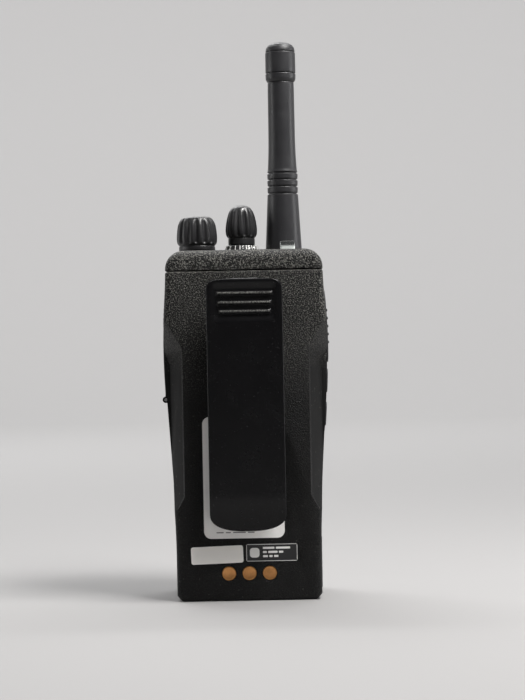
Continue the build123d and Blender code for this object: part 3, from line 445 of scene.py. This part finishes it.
# %% Finishes on parts that keep their shape
FINISHES = {
    STEEL: ("chassis_screws", "shield_cans", "speaker_frame", "microphone", "volume_control",
            "channel_switch", "control_nuts", "cover_pin", "volume_shaft", "channel_shaft", "clip_pin"),
    CASTING: ("chassis",), MAGNET_PLATE: ("speaker_magnet",), SEAL_RUBBER: ("chassis_seal", "microphone_boot"),
    BOARD_GREEN: ("main_board", "control_board", "side_board", "battery_board"),
    CHIP_BLACK: ("board_chips", "side_switches", "jack_block", "contact_block"),
    GOLD: ("radio_contacts", "battery_terminals"), BRASS: ("antenna_socket", "antenna_stud"),
    SPEAKER_PULP: ("speaker_cone",), SPEAKER_CLOTH: ("speaker_mesh",), CELL_BLUE: ("battery_cells",),
    STICKER_WHITE: ("battery_sticker",), LABEL_SILVER: ("rating_label",), LABEL_BLACK: ("approval_label",),
    BATTERY_BLACK: ("battery_lid",), LATCH_BLACK: ("battery_latch",),
}


def set_finish(piece, material):
    """Puts one material on every slot of an object."""
    if not piece.material_slots:
        piece.data.materials.append(material)
    for place in piece.material_slots:
        place.material = material


for material, names in FINISHES.items():
    for name in names:
        set_finish(NODES[name], material)
print("parts with a new finish:", sum(len(names) for names in FINISHES.values()))

# %% Mouldings with rolled edges


def rolled_copy(node, body, slot, material, edge_mm, segments=2):
    """A copy of a fitted part, welded into one skin, whose sharp edges are rolled by edge_mm."""
    mesh = NODES[node].data.copy()
    work = bmesh.new()
    work.from_mesh(mesh)
    bmesh.ops.remove_doubles(work, verts=work.verts, dist=2e-6)
    bmesh.ops.dissolve_limit(
        work, angle_limit=math.radians(0.5), verts=work.verts, edges=work.edges, use_dissolve_boundaries=False
    )
    work.to_mesh(mesh)
    work.free()
    mesh.shade_smooth()
    mesh.set_sharp_from_angle(angle=math.radians(35))
    piece = bpy.data.objects.new(f"{node}_moulding", mesh)
    bpy.context.scene.collection.objects.link(piece)
    roll = piece.modifiers.new("rolled_edges", "BEVEL")
    roll.width = edge_mm * MM
    roll.segments = segments
    roll.limit_method = "ANGLE"
    roll.angle_limit = math.radians(35)
    roll.use_clamp_overlap = True
    roll.harden_normals = True
    set_finish(piece, material)
    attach(piece, body)
    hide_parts(node)
    return piece


MOULDINGS = (
    ("front_housing", "radio", "housing_plastic", HOUSING_BLACK, 0.25),
    ("battery_case", "battery", "battery_plastic", BATTERY_BLACK, 0.25),
    ("key_bezel", "radio", "bezel_plastic", BEZEL_BLACK, 0.15),
    ("ptt_key", "ptt", "key_rubber", KEY_RUBBER, 0.3),
    ("side_key_upper", "upper_key", "key_rubber", KEY_RUBBER, 0.3),
    ("side_key_lower", "lower_key", "key_rubber", KEY_RUBBER, 0.3),
    ("accessory_cover", "cover", "cover_rubber", COVER_RUBBER, 0.25),
    ("clip_bracket", "clip_mount", "bracket_plastic", BRACKET_BLACK, 0.2),
    ("led_lens", "radio", "lens_clear", LENS_CLEAR, 0.15),
    ("nameplate", "radio", "nameplate", PLATE_SATIN, 0.1),
)
for moulding in MOULDINGS:
    piece = rolled_copy(*moulding)
    print(piece.name, len(piece.data.polygons), "faces before rolling")

# %% [markdown]
# ## Turned shapes
# Knobs, contacts and the antenna are all bodies of revolution, some with grooves round them. One
# function makes them: an outline of radius and height is softened by cutting its corners, then
# swept round an axis. A second function of angle and height may push the surface in, for flutes.

# %% Outline softening and the turned surface


def softened(outline, passes=3, share=0.18):
    """An outline with its corners cut. Each pass puts two points on every run, a share of the run
    in from its ends, so corners turn into short curves while the ends stay where they are."""
    points = np.asarray(outline, float)
    for _ in range(passes):
        step = points[1:] - points[:-1]
        cut = np.stack([points[:-1] + share * step, points[1:] - share * step], axis=1).reshape(-1, 2)
        points = np.concatenate([points[:1], cut[1:-1], points[-1:]])
    return points


def denser(outline, spacing):
    """The same outline with points no further apart than spacing, measured along it."""
    run = np.concatenate([[0], np.cumsum(np.hypot(*np.diff(outline, axis=0).T))])
    stations = np.union1d(run, np.linspace(0, run[-1], int(run[-1] / spacing) + 2))
    return np.stack([np.interp(stations, run, outline[:, axis]) for axis in (0, 1)], axis=-1)


def turned(name, centre, outline_mm, columns=96, push=None):
    """A surface of revolution about an upright axis through centre (x, y, in metres).

    A point is centre + radius (cos a, sin a) at its height. push(angle, radius, height) gives a
    distance in mm that is taken off the radius.
    """
    outline = np.asarray(outline_mm, float)
    angle = np.linspace(0, 2 * math.pi, columns, endpoint=False)
    radius = np.broadcast_to(outline[:, :1], (len(outline), columns)).copy()
    height = np.broadcast_to(outline[:, 1:], (len(outline), columns))
    if push is not None:
        radius -= push(angle[None, :], radius, height)
    grid = np.stack([
        centre[0] + radius * np.cos(angle) * MM,
        centre[1] + radius * np.sin(angle) * MM,
        height * MM,
    ], axis=-1)
    return grid_mesh(name, grid)


def centre_of(node):
    """The middle of a fitted part's box, in metres."""
    lowest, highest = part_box(node)
    return (np.array(lowest) + np.array(highest)) / 2


def finish_piece(piece, body, slot, material, *replaced):
    """Gives a new piece its finish, its body and the fitted parts it stands for; slot is not used."""
    set_finish(piece, material)
    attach(piece, body)
    if replaced:
        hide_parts(*replaced)
    print(piece.name, len(piece.data.polygons), "faces")
    return piece


# %% [markdown]
# ## The two knobs
# Fingers turn the knobs with gloves on, so their grips are cut with deep flutes. Seen from above
# a flute is a round valley between two round ridges. The valley's depth grows from nothing at the
# skirt, stays full along the grip and dies out over the shoulder, which a smooth step does. The
# volume knob has a flat top inside a raised ring, the channel knob is a taller dome.

# %% Flutes and knobs


def smoothstep(value, start, end):
    """0 before start, 1 after end, and an S-shaped rise between."""
    t = np.clip((value - start) / (end - start), 0.0, 1.0)
    return t * t * (3 - 2 * t)


def flutes(count, depth, start, full, fade, end, wall):
    """A push for count valleys round a grip: depth times a rounded saw, faded at both ends.
    Only points further out than wall are pushed, so a hollow inside stays round."""
    def push(angle, radius, height):
        valley = (0.5 - 0.5 * np.cos(count * angle)) ** 1.6
        along = smoothstep(height, start, full) * (1 - smoothstep(height, fade, end))
        return depth * valley * along * (radius > wall)
    return push


VOLUME_AT = centre_of("volume_shaft")[:2]
CHANNEL_AT = centre_of("channel_shaft")[:2]
VOLUME_OUTLINE = [
    (0.0, 131.2), (5.6, 131.2), (5.6, 128.65), (6.65, 128.65), (6.8, 128.9), (6.8, 130.1), (6.55, 130.4),
    (6.9, 130.75), (7.4, 131.4), (7.6, 132.6), (7.58, 134.4), (7.42, 136.2), (7.08, 138.3), (6.5, 139.7),
    (5.7, 140.8), (5.0, 141.2), (4.6, 141.28), (4.4, 140.9), (4.0, 140.75), (0.0, 140.7),
]
CHANNEL_OUTLINE = [
    (0.0, 131.0), (4.3, 131.0), (4.3, 130.45), (4.85, 130.45), (5.0, 130.65), (5.0, 132.8), (4.85, 133.1),
    (5.3, 133.4), (5.8, 134.4), (5.95, 135.9), (5.85, 137.4), (5.6, 139.2), (5.15, 141.3), (4.5, 143.1),
    (3.5, 144.5), (1.9, 145.3), (0.0, 145.42),
]
volume_grip = turned(
    "volume_knob_fluted", VOLUME_AT, denser(softened(VOLUME_OUTLINE), 0.3), 280,
    flutes(14, 0.85, 130.7, 131.9, 138.2, 141.2, 5.9),
)
finish_piece(volume_grip, "volume", "knob_plastic", KNOB_BLACK, "volume_knob")
channel_grip = turned(
    "channel_knob_fluted", CHANNEL_AT, denser(softened(CHANNEL_OUTLINE), 0.3), 264,
    flutes(12, 0.75, 133.2, 134.4, 140.5, 145.0, 1.0),
)
finish_piece(channel_grip, "channel", "knob_plastic", KNOB_BLACK, "channel_knob")

# %% [markdown]
# ## The channel scale
# A sloping ring round the channel knob carries the numbers 1 to 16. From the side the white
# numbers read as a row of light marks. Each number is a text object made into a mesh, laid flat,
# stood on the slope, and turned to its place. A vertex array does the turning in one product.

# %% Ring and numbers
RING_LOW, RING_HIGH = (corner.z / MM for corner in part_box("channel_ring"))
FOOT_R, BROW_R, BORE_R = 6.45, 5.8, 4.4
FOOT_Z, BROW_Z = RING_LOW + 0.2, RING_HIGH - 0.15
RING_OUTLINE = [
    (BORE_R, RING_LOW + 0.02), (6.5, RING_LOW + 0.02), (FOOT_R, FOOT_Z), (BROW_R, BROW_Z),
    (BROW_R - 0.15, RING_HIGH), (BORE_R, RING_HIGH),
]
ring = turned("channel_scale_ring", CHANNEL_AT, denser(np.array(RING_OUTLINE + RING_OUTLINE[:1]), 0.3), 128)
finish_piece(ring, "radio", "ring_plastic", RING_BLACK, "channel_ring")
SLOPE = math.atan2(BROW_Z - FOOT_Z, FOOT_R - BROW_R)
CHANNELS = 16


def number_on_ring(number):
    """The mesh of a number that lies on the ring's slope, with its foot towards the outside."""
    curve = bpy.data.curves.new(f"number_{number}", "FONT")
    curve.body = str(number)
    curve.size = 2.2 * MM
    curve.align_x = "CENTER"
    curve.align_y = "CENTER"
    curve.extrude = 0.02 * MM
    curve.offset = 0.05 * MM
    written = bpy.data.objects.new("writing", curve)
    mesh = bpy.data.meshes.new_from_object(written)
    bpy.data.objects.remove(written)
    flat = np.empty(len(mesh.vertices) * 3)
    mesh.vertices.foreach_get("co", flat)
    flat = flat.reshape(-1, 3)
    out_r, mid_z = (FOOT_R + BROW_R) / 2 - 0.05, (FOOT_Z + BROW_Z) / 2 + 0.3
    # Upright on the slope: right runs round the ring, up runs up the slope, and the rest outwards
    right = np.array([0.0, 1.0, 0.0])
    up = np.array([-math.cos(SLOPE), 0.0, math.sin(SLOPE)])
    outwards = np.cross(right, up)
    stood = flat[:, :1] * right + flat[:, 1:2] * up + flat[:, 2:] * outwards
    stood += np.array([out_r, 0.0, mid_z]) * MM
    angle = math.pi / 2 - number * 2 * math.pi / CHANNELS
    spin = np.array([
        [math.cos(angle), math.sin(angle), 0.0], [-math.sin(angle), math.cos(angle), 0.0], [0.0, 0.0, 1.0],
    ])
    placed = stood @ spin + np.array([*CHANNEL_AT, 0.0])
    mesh.vertices.foreach_set("co", placed.ravel())
    return mesh


numbers = bmesh.new()
for number in range(1, CHANNELS + 1):
    numbers.from_mesh(number_on_ring(number))
numbers_mesh = bpy.data.meshes.new("channel_numbers")
numbers.to_mesh(numbers_mesh)
numbers.free()
numbers_piece = bpy.data.objects.new("channel_numbers", numbers_mesh)
bpy.context.scene.collection.objects.link(numbers_piece)
finish_piece(numbers_piece, "radio", "white_sticker", WHITE_INK)

# %% [markdown]
# ## The antenna
# A rubber sheath over a coil: a cone at the foot, four rings where it bends, a long slim stem and
# a cap pressed on its end. The cap's two fine grooves and its rounded end catch the light. It is
# one outline turned round its axis; the rings are short dips in that outline.

# %% Sheath and cap
ANTENNA_AT = centre_of("antenna_stud")[:2]
RING_HEIGHTS = (149.5, 152.15, 154.7, 157.2)
sheath = [(4.05, 138.0), (4.05, 128.25), (6.5, 128.25), (6.78, 128.6), (6.7, 130.2), (5.75, 148.9)]
for ring_z in RING_HEIGHTS:
    sheath += [(5.72, ring_z - 0.42), (5.62, ring_z - 0.3), (5.2, ring_z - 0.22),
               (5.2, ring_z + 0.22), (5.55, ring_z + 0.3), (5.66, ring_z + 0.42)]
sheath += [(5.42, 158.6), (5.15, 164.0), (5.0, 170.0), (4.93, 191.3), (4.4, 191.35)]
sheath_piece = turned("antenna_sheath_moulded", ANTENNA_AT, denser(softened(sheath, 2, 0.12), 0.8), 120)
finish_piece(sheath_piece, "antenna", "antenna_rubber", ANTENNA_RUBBER, "antenna_sheath")
cap = [
    (4.4, 191.32), (4.88, 191.35), (5.3, 191.9), (5.62, 192.6), (5.65, 194.3), (5.58, 194.45), (5.28, 194.55),
    (5.28, 194.8), (5.58, 194.9), (5.65, 195.1), (5.62, 202.3), (5.55, 202.45), (5.28, 202.55), (5.28, 202.8),
    (5.5, 202.9), (5.45, 203.5), (5.2, 204.5), (4.9, 204.68), (4.85, 204.95), (4.5, 205.35), (3.4, 205.95),
    (1.8, 206.3), (0.0, 206.38),
]
cap_piece = turned("antenna_cap_moulded", ANTENNA_AT, denser(softened(cap, 2, 0.15), 0.6), 120)
finish_piece(cap_piece, "antenna", "antenna_rubber", ANTENNA_RUBBER, "antenna_cap")

# %% [markdown]
# ## The belt clip
# The lever is one long spring of hard glossy plastic: flat along its length, curled in at the
# bottom to grip a belt, with a sunk place at the top where three ribs stop the thumb slipping.
# It is a closed section, a flat bar with rounded corners, that is carried along the height. On
# the way its half width follows the lever's outline and its middle follows the curl, and the
# outer face is pressed in by the thumb place and let out again by the ribs.

# %% The lever as one carried section
CLIP_LOW, CLIP_HIGH = (corner.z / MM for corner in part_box("clip_lever"))
CLIP_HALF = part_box("clip_lever")[1].x / MM
CLIP_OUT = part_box("clip_lever")[1].y / MM
LEVER_T = 2.5
EDGE_R = 0.75
CORNER_POINTS = 7
END_R = 0.9           # how far from either end the section thins to nothing
ARCH_HALF = 10.6      # half the width of the shallow arch at the top
ARCH_DROP = 0.7
CURL_FROM = 39.0      # the height below which the lever curls in, by CURL_IN at its tip
CURL_IN = 3.6
SINK = 0.7            # depth of the thumb place
RIB_PROUD = 0.85      # height of its ribs


def lever_half_width(z):
    """Half the lever's width: full in the middle, rounded in at the top corners and then closed by
    a shallow arch, and at the bottom the width at which a wide arc reaches that height."""
    round_in = np.sqrt(1 - np.clip((z - CLIP_HIGH + 4.1) / 3.4, 0, 1) ** 2)
    corner = ARCH_HALF + (CLIP_HALF - ARCH_HALF) * round_in
    arch = ARCH_HALF * np.sqrt(np.clip((CLIP_HIGH - z) / ARCH_DROP, 0, 1))
    top = np.where(z > CLIP_HIGH - ARCH_DROP, arch, corner)
    rise = np.clip((z - CLIP_LOW) / (32.4 - CLIP_LOW), 0, 1)
    bottom = CLIP_HALF * (1 - (1 - rise) ** 2.6) ** 0.42
    return np.minimum(top, bottom)


def lever_middle(z):
    """Depth of the lever's middle: straight, then curled in towards the battery near the bottom."""
    curl = np.clip((CURL_FROM - z) / (CURL_FROM - CLIP_LOW), 0, 1)
    return CLIP_OUT - LEVER_T / 2 - CURL_IN * curl ** 2


def thumb_place(x, z):
    """How far the outer face is pressed in: a rounded rectangle, less its three ribs."""
    sunk = SINK * (1 - smoothstep(np.abs(x), 9.6, 12.2)) * (1 - smoothstep(np.abs(z - 108.4), 4.4, 7.4))
    for rib_z, rib_half in THUMB_RIBS:
        rib = np.clip(1 - ((z - rib_z) / 0.68) ** 2, 0, 1) ** 0.5
        sunk = sunk - RIB_PROUD * rib * (1 - smoothstep(np.abs(x), rib_half - 0.5, rib_half + 0.15))
    return sunk


ends = END_R * np.linspace(0, 1, 24) ** 2
rows_z = np.unique(np.concatenate([
    CLIP_LOW + ends, np.linspace(CLIP_LOW + END_R, 34, 40), np.linspace(34, 101, 60),
    np.linspace(101, CLIP_HIGH - END_R, 130), CLIP_HIGH - ends,
]))
from_end = np.minimum(rows_z - CLIP_LOW, CLIP_HIGH - rows_z)
roundness = np.sqrt(np.clip(1 - (1 - np.clip(from_end / END_R, 0, 1)) ** 2, 0, 1))
half_wide = lever_half_width(rows_z)[:, None]
half_thick = LEVER_T / 2 * roundness[:, None]
edge = np.minimum(np.minimum(EDGE_R, half_wide), half_thick)
corner_at = np.repeat(np.arange(4), CORNER_POINTS) * math.pi / 2
corner_angle = corner_at + np.tile(np.linspace(0, math.pi / 2, CORNER_POINTS), 4)
corner_x = np.sign(np.cos(corner_at + math.pi / 4))
corner_y = np.sign(np.sin(corner_at + math.pi / 4))
rim_x = corner_x * (half_wide - edge) + edge * np.cos(corner_angle)
rim_y = corner_y * (half_thick - edge) + edge * np.sin(corner_angle)
flat = np.linspace(1, -1, 82)[1:-1]
face_x = flat * (half_wide - edge)
face_y = np.broadcast_to(half_thick, face_x.shape)
lever_x = np.concatenate([rim_x[:, :CORNER_POINTS], face_x, rim_x[:, CORNER_POINTS:]], axis=1)
lever_y = np.concatenate([rim_y[:, :CORNER_POINTS], face_y, rim_y[:, CORNER_POINTS:]], axis=1)
lever_z = np.broadcast_to(rows_z[:, None], lever_x.shape)
facing_out = np.clip(lever_y / np.maximum(half_thick, 1e-6), 0, 1) ** 4
crown = 0.22 * (lever_x / CLIP_HALF) ** 2
lever_y = lever_middle(rows_z)[:, None] + lever_y
lever_y = lever_y - facing_out * (crown * roundness[:, None] + thumb_place(lever_x, lever_z))
lever = grid_mesh("clip_lever_moulded", np.stack([lever_x, lever_y, lever_z], axis=-1) * MM)


def tube(name, path, radius, sides=12):
    """A round wire along a path of points in mm. Each ring lies across the path: two directions at
    right angles to the run there, from a fixed helper direction, carry a circle."""
    run = np.gradient(path, axis=0)
    run /= np.linalg.norm(run, axis=1, keepdims=True)
    helper = np.where(np.abs(run[:, :1]) < 0.9, [[1.0, 0.0, 0.0]], [[0.0, 1.0, 0.0]])
    first = np.cross(run, helper)
    first /= np.linalg.norm(first, axis=1, keepdims=True)
    second = np.cross(run, first)
    turn_round = np.linspace(0, 2 * math.pi, sides, endpoint=False)
    cosine, sine = np.cos(turn_round)[None, :, None], np.sin(turn_round)[None, :, None]
    rings = path[:, None] + radius * (cosine * first[:, None] + sine * second[:, None])
    start, end = (np.repeat(path[at, None][None], sides, 1) for at in (0, -1))
    return grid_mesh(name, np.concatenate([start, rings, end]) * MM)


pin_y, pin_z = centre_of("clip_pin")[1] / MM, centre_of("clip_pin")[2] / MM
finish_piece(lever, "clip", "clip_plastic", CLIP_BLACK, "clip_lever")

# %% Lugs under the lever
LUG_R, LUG_BORE_R = 1.7, 1.05
LUG_INNER_X, LUG_OUTER_X = 7.6, 10.1
LUG_COLUMNS = 48
angle = np.linspace(0, 2 * math.pi, LUG_COLUMNS, endpoint=False)
foot = np.clip(np.cos(angle), 0, 1) ** 0.5
foot_y = (CLIP_OUT - LEVER_T + 0.1 - pin_y) * foot
rim = (pin_y + np.where(np.cos(angle) > 0, foot_y, LUG_R * np.cos(angle)), pin_z + LUG_R * np.sin(angle))
bore = (pin_y + LUG_BORE_R * np.cos(angle), pin_z + LUG_BORE_R * np.sin(angle))
for side in (-1, 1):
    inner_x, outer_x = side * LUG_INNER_X, side * LUG_OUTER_X
    loops = [(bore, inner_x), (rim, inner_x), (rim, outer_x), (bore, outer_x), (bore, inner_x)]
    lug_grid = np.stack([np.stack([np.full(LUG_COLUMNS, x), *loop], axis=-1) for loop, x in loops]) * MM
    lug = grid_mesh(f"clip_lug_{'left' if side < 0 else 'right'}", lug_grid)
    lug.data.set_sharp_from_angle(angle=math.radians(40))
    finish_piece(lug, "clip", "clip_plastic", CLIP_BLACK)

# %% [markdown]
# ## Springs
# A coil spring is a helix, which is a circle that moves along its axis as it turns. A round
# section carried along it gives the wire. The clip's spring also has a leg, which presses up
# under the lever.

# %% The latch's, the clip's and the antenna's springs


def helix(radius, length, turns, along, first, second, start, steps=40):
    """Points of a helix in mm: start + along t length + radius (first cos a + second sin a)."""
    t = np.linspace(0, 1, int(turns * steps))[:, None]
    angle = 2 * math.pi * turns * t
    axis, u, v = (np.array(direction, float) for direction in (along, first, second))
    return np.array(start) + axis * t * length + radius * (u * np.cos(angle) + v * np.sin(angle))


X_AXIS, Y_AXIS, Z_AXIS = (1, 0, 0), (0, 1, 0), (0, 0, 1)
latch_low, latch_high = (np.array(corner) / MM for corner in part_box("latch_spring"))
latch_middle = (latch_low + latch_high) / 2
latch_wire = helix(1.3, latch_high[1] - latch_low[1] - 0.4, 6, Y_AXIS, Z_AXIS, X_AXIS,
                   (latch_middle[0], latch_low[1] + 0.2, latch_middle[2]))
latch_coil = tube("latch_spring_wire", latch_wire, 0.18, 8)
finish_piece(latch_coil, "radio", "spring_steel", SPRING_STEEL, "latch_spring")
clip_wire = helix(1.4, 9.0, 11, X_AXIS, Z_AXIS, (0, -1, 0), (-4.5, pin_y, pin_z))
leg_up = np.array([[4.5, pin_y + 1.6, pin_z + 2.0], [4.5, pin_y + 1.75, pin_z + 7.0]])
clip_wire = np.concatenate([clip_wire, leg_up])
clip_coil = tube("clip_spring_wire", clip_wire, 0.3, 8)
finish_piece(clip_coil, "clip_mount", "spring_steel", SPRING_STEEL, "clip_spring")
antenna_wire = helix(2.6, 52.0, 13, Z_AXIS, X_AXIS, Y_AXIS, (ANTENNA_AT[0] / MM, ANTENNA_AT[1] / MM, 138.5))
antenna_coil = tube("antenna_coil_wire", antenna_wire, 0.45, 8)
finish_piece(antenna_coil, "antenna", "spring_steel", SPRING_STEEL, "antenna_coil")

# %% [markdown]
# ## Charging contacts
# Three bronze discs low on the battery touch springs in the charging cup. A used contact is a
# shallow dish with a bright worn ring, so each disc is turned from an outline with a slight dip.

# %% Contact discs


def lay_towards_back(piece, centre):
    """Tips an upright turned piece so that its top faces +Y, about its own foot at centre."""
    points = np.empty(len(piece.data.vertices) * 3)
    piece.data.vertices.foreach_get("co", points)
    points = points.reshape(-1, 3)
    tipped = np.stack([points[:, 0], points[:, 2], -points[:, 1]], axis=-1) + np.array(centre)
    piece.data.vertices.foreach_set("co", tipped.ravel())
    piece.data.update()


contact_low, contact_high = (np.array(corner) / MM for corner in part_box("charge_contacts"))
contact_z = (contact_low[2] + contact_high[2]) / 2
contact_r = (contact_high[2] - contact_low[2]) / 2
DISC = [
    (0.0, -2.4), (1.2, -2.4), (1.2, -0.95), (contact_r, -0.95), (contact_r, -0.18), (contact_r - 0.12, -0.03),
    (contact_r - 0.45, 0.0), (contact_r - 0.8, -0.07), (1.2, -0.16), (0.5, -0.17), (0.0, -0.15),
]
for index, contact_x in enumerate((contact_low[0] + contact_r, 0.0, contact_high[0] - contact_r)):
    disc = turned(f"charge_contact_{index + 1}", (0, 0), denser(softened(DISC, 2), 0.3), 72)
    lay_towards_back(disc, (contact_x * MM, contact_high[1] * MM, contact_z * MM))
    finish_piece(disc, "battery", "contact_copper", BRONZE)
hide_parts("charge_contacts")

# %% [markdown]
# ## Print on the labels
# The labels carry nothing that can be read. Where a real one has words, there are plain bars as
# long as words, and where it has a mark, there is a plain square. A bar is a thin rounded plate.
# All the bars of one label are one mesh, so a label costs a few hundred faces.

# %% Bars as thin rounded plates


def rounded_rim(width, height, radius, steps=4):
    """The points of a rounded rectangle round the origin, as (x, z)."""
    quarter = np.linspace(0, math.pi / 2, steps)
    corners = [(1, 1, 0), (-1, 1, 1), (-1, -1, 2), (1, -1, 3)]
    return np.concatenate([
        np.stack([
            sx * (width / 2 - radius) + radius * np.cos(quarter + k * math.pi / 2),
            sz * (height / 2 - radius) + radius * np.sin(quarter + k * math.pi / 2),
        ], axis=-1) for sx, sz, k in corners
    ])


def printed(name, bars, y0, body, slot, material, thickness=0.03):
    """One mesh of closed plates. bars are (x, z, width, height) in mm, and y0 is their lower face."""
    work = bmesh.new()
    for x, z, width, height in bars:
        rim = rounded_rim(width, height, min(width, height) * 0.3)
        rings = [[work.verts.new(((x + px) * MM, (y0 + y) * MM, (z + pz) * MM)) for px, pz in rim]
                 for y in (0.0, thickness)]
        work.faces.new(rings[0])
        work.faces.new(rings[1][::-1])
        count = len(rim)
        for k in range(count):
            work.faces.new((rings[0][k], rings[1][k], rings[1][(k + 1) % count], rings[0][(k + 1) % count]))
    bmesh.ops.recalc_face_normals(work, faces=work.faces)
    mesh = bpy.data.meshes.new(name)
    work.to_mesh(mesh)
    work.free()
    piece = bpy.data.objects.new(name, mesh)
    bpy.context.scene.collection.objects.link(piece)
    return finish_piece(piece, body, slot, material)


def word_bars(left, z, words, height, gap):
    """A line of bars from left towards -X, one for each word length."""
    bars, x = [], left
    for length in words:
        bars.append((x - length / 2, z, length, height))
        x -= length + gap
    return bars


rating_low, rating_high = (np.array(corner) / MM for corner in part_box("rating_label"))
rating_bars = word_bars(rating_high[0] - 4.5, rating_low[2] + 2.2, (2.6, 1.8, 4.6, 2.4), 0.42, 0.8)
for line in range(9):
    lengths = [2.0 + 2.2 * abs(math.sin(1.7 * line + 2.3 * word)) for word in range(5)]
    rating_bars += word_bars(rating_high[0] - 3.0, rating_high[2] - 5.0 - 3.1 * line, lengths, 0.55, 0.9)
printed("rating_label_print", rating_bars, rating_high[1], "battery", "rating_label", GREY_INK)

mark_low, mark_high = (np.array(corner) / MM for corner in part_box("approval_label"))
mark_w, mark_h = mark_high[0] - mark_low[0], mark_high[2] - mark_low[2]
mark_x, mark_z = (mark_low[0] + mark_high[0]) / 2, (mark_low[2] + mark_high[2]) / 2
EDGE = 0.16
border = [
    (mark_x, mark_high[2] - 0.3, mark_w - 1.0, EDGE), (mark_x, mark_low[2] + 0.3, mark_w - 1.0, EDGE),
    (mark_low[0] + 0.3, mark_z, EDGE, mark_h - 1.0), (mark_high[0] - 0.3, mark_z, EDGE, mark_h - 1.0),
]
square = [(mark_high[0] - 3.2, mark_z, 3.5, 3.5)]
lines = word_bars(mark_high[0] - 6.2, mark_z + 1.7, (4.2, 5.2), 0.75, 0.5)
lines += word_bars(mark_high[0] - 6.2, mark_z + 0.2, (1.4, 3.4, 1.6), 0.75, 0.5)
lines += word_bars(mark_high[0] - 6.2, mark_z - 1.3, (1.8, 1.2, 1.6), 0.75, 0.5)
printed("approval_label_print", border + square + lines, mark_high[1], "battery", "white_sticker", WHITE_INK)

# %% [markdown]
# ## Light
# A small window high over the radio, a little towards the viewer, is the main light: it rakes
# down the grained plastic. The grain is strong at the top and dies away towards the foot largely
# because of the painted sparkle and painted light falloff in the grained finish. A strip lamp on
# each side draws the edges, and a broad lamp in front lights the speaker's side.
# High lamps wash the wall, far more strongly behind the radio than elsewhere.

# %% Lamps and room


def area_lamp(name, place, aim, size, watts, colour=(1.0, 1.0, 1.0)):
    """Adds a soft rectangular lamp at place that looks at aim."""
    data = bpy.data.lights.new(name, "AREA")
    data.shape = "RECTANGLE"
    data.size, data.size_y = size
    data.energy = watts
    data.color = colour
    lamp = bpy.data.objects.new(name, data)
    bpy.context.scene.collection.objects.link(lamp)
    lamp.location = place
    lamp.rotation_euler = (Vector(aim) - Vector(place)).to_track_quat("-Z", "Y").to_euler()


AIM = (0, 0, 0.08)
area_lamp("window", (-0.22, 0.16, 0.56), AIM, (0.20, 0.16), 5.4, (1.0, 0.985, 0.97))
WASH_WATTS = (118.0, 9.0, 9.0, 9.0)
WASH_FROM, WASH_TO = Vector((0, 0, 2.2)), Vector((0, 0, 0.3))
for quarter_turn, watts in enumerate(WASH_WATTS):
    angle = quarter_turn * math.pi / 2
    facing = Vector((math.sin(angle), -math.cos(angle), 0))
    place, aim = 1.2 * facing + WASH_FROM, 2.5 * facing + WASH_TO
    area_lamp(f"wall_wash_{quarter_turn}", place, aim, (3.0, 0.6), watts)
area_lamp("right_strip", (-0.80, 0.0, 0.12), AIM, (0.14, 0.6), 2.2)
area_lamp("left_strip", (0.80, 0.0, 0.12), AIM, (0.14, 0.6), 1.8)
area_lamp("front_window", (0.5, -0.9, 0.9), AIM, (0.8, 0.8), 5.0)
world = bpy.data.worlds.new("room")
world.use_nodes = True
room = world.node_tree.nodes["Background"]
room.inputs["Color"].default_value = (0.95, 0.95, 1.0, 1.0)
room.inputs["Strength"].default_value = 0.06
bpy.context.scene.world = world
bpy.context.scene.view_settings.view_transform = "Standard"
FLOOR_PALE = new_finish("floor_pale", (0.26, 0.256, 0.255), 0.8)[0]
set_finish(backdrop, FLOOR_PALE)
print("lamps:", len(bpy.data.lights))

# %% [markdown]
# ## Last: both sizes side by side
# The looks may not outgrow the engineering model, so both boxes are written down and compared.

# %% Sizes and the end
visual_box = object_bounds()
for corner, kept in zip(visual_box, CAD_BOX):
    print("visual minus model, mm:", np.round((np.array(corner) - np.array(kept)) / MM, 2))
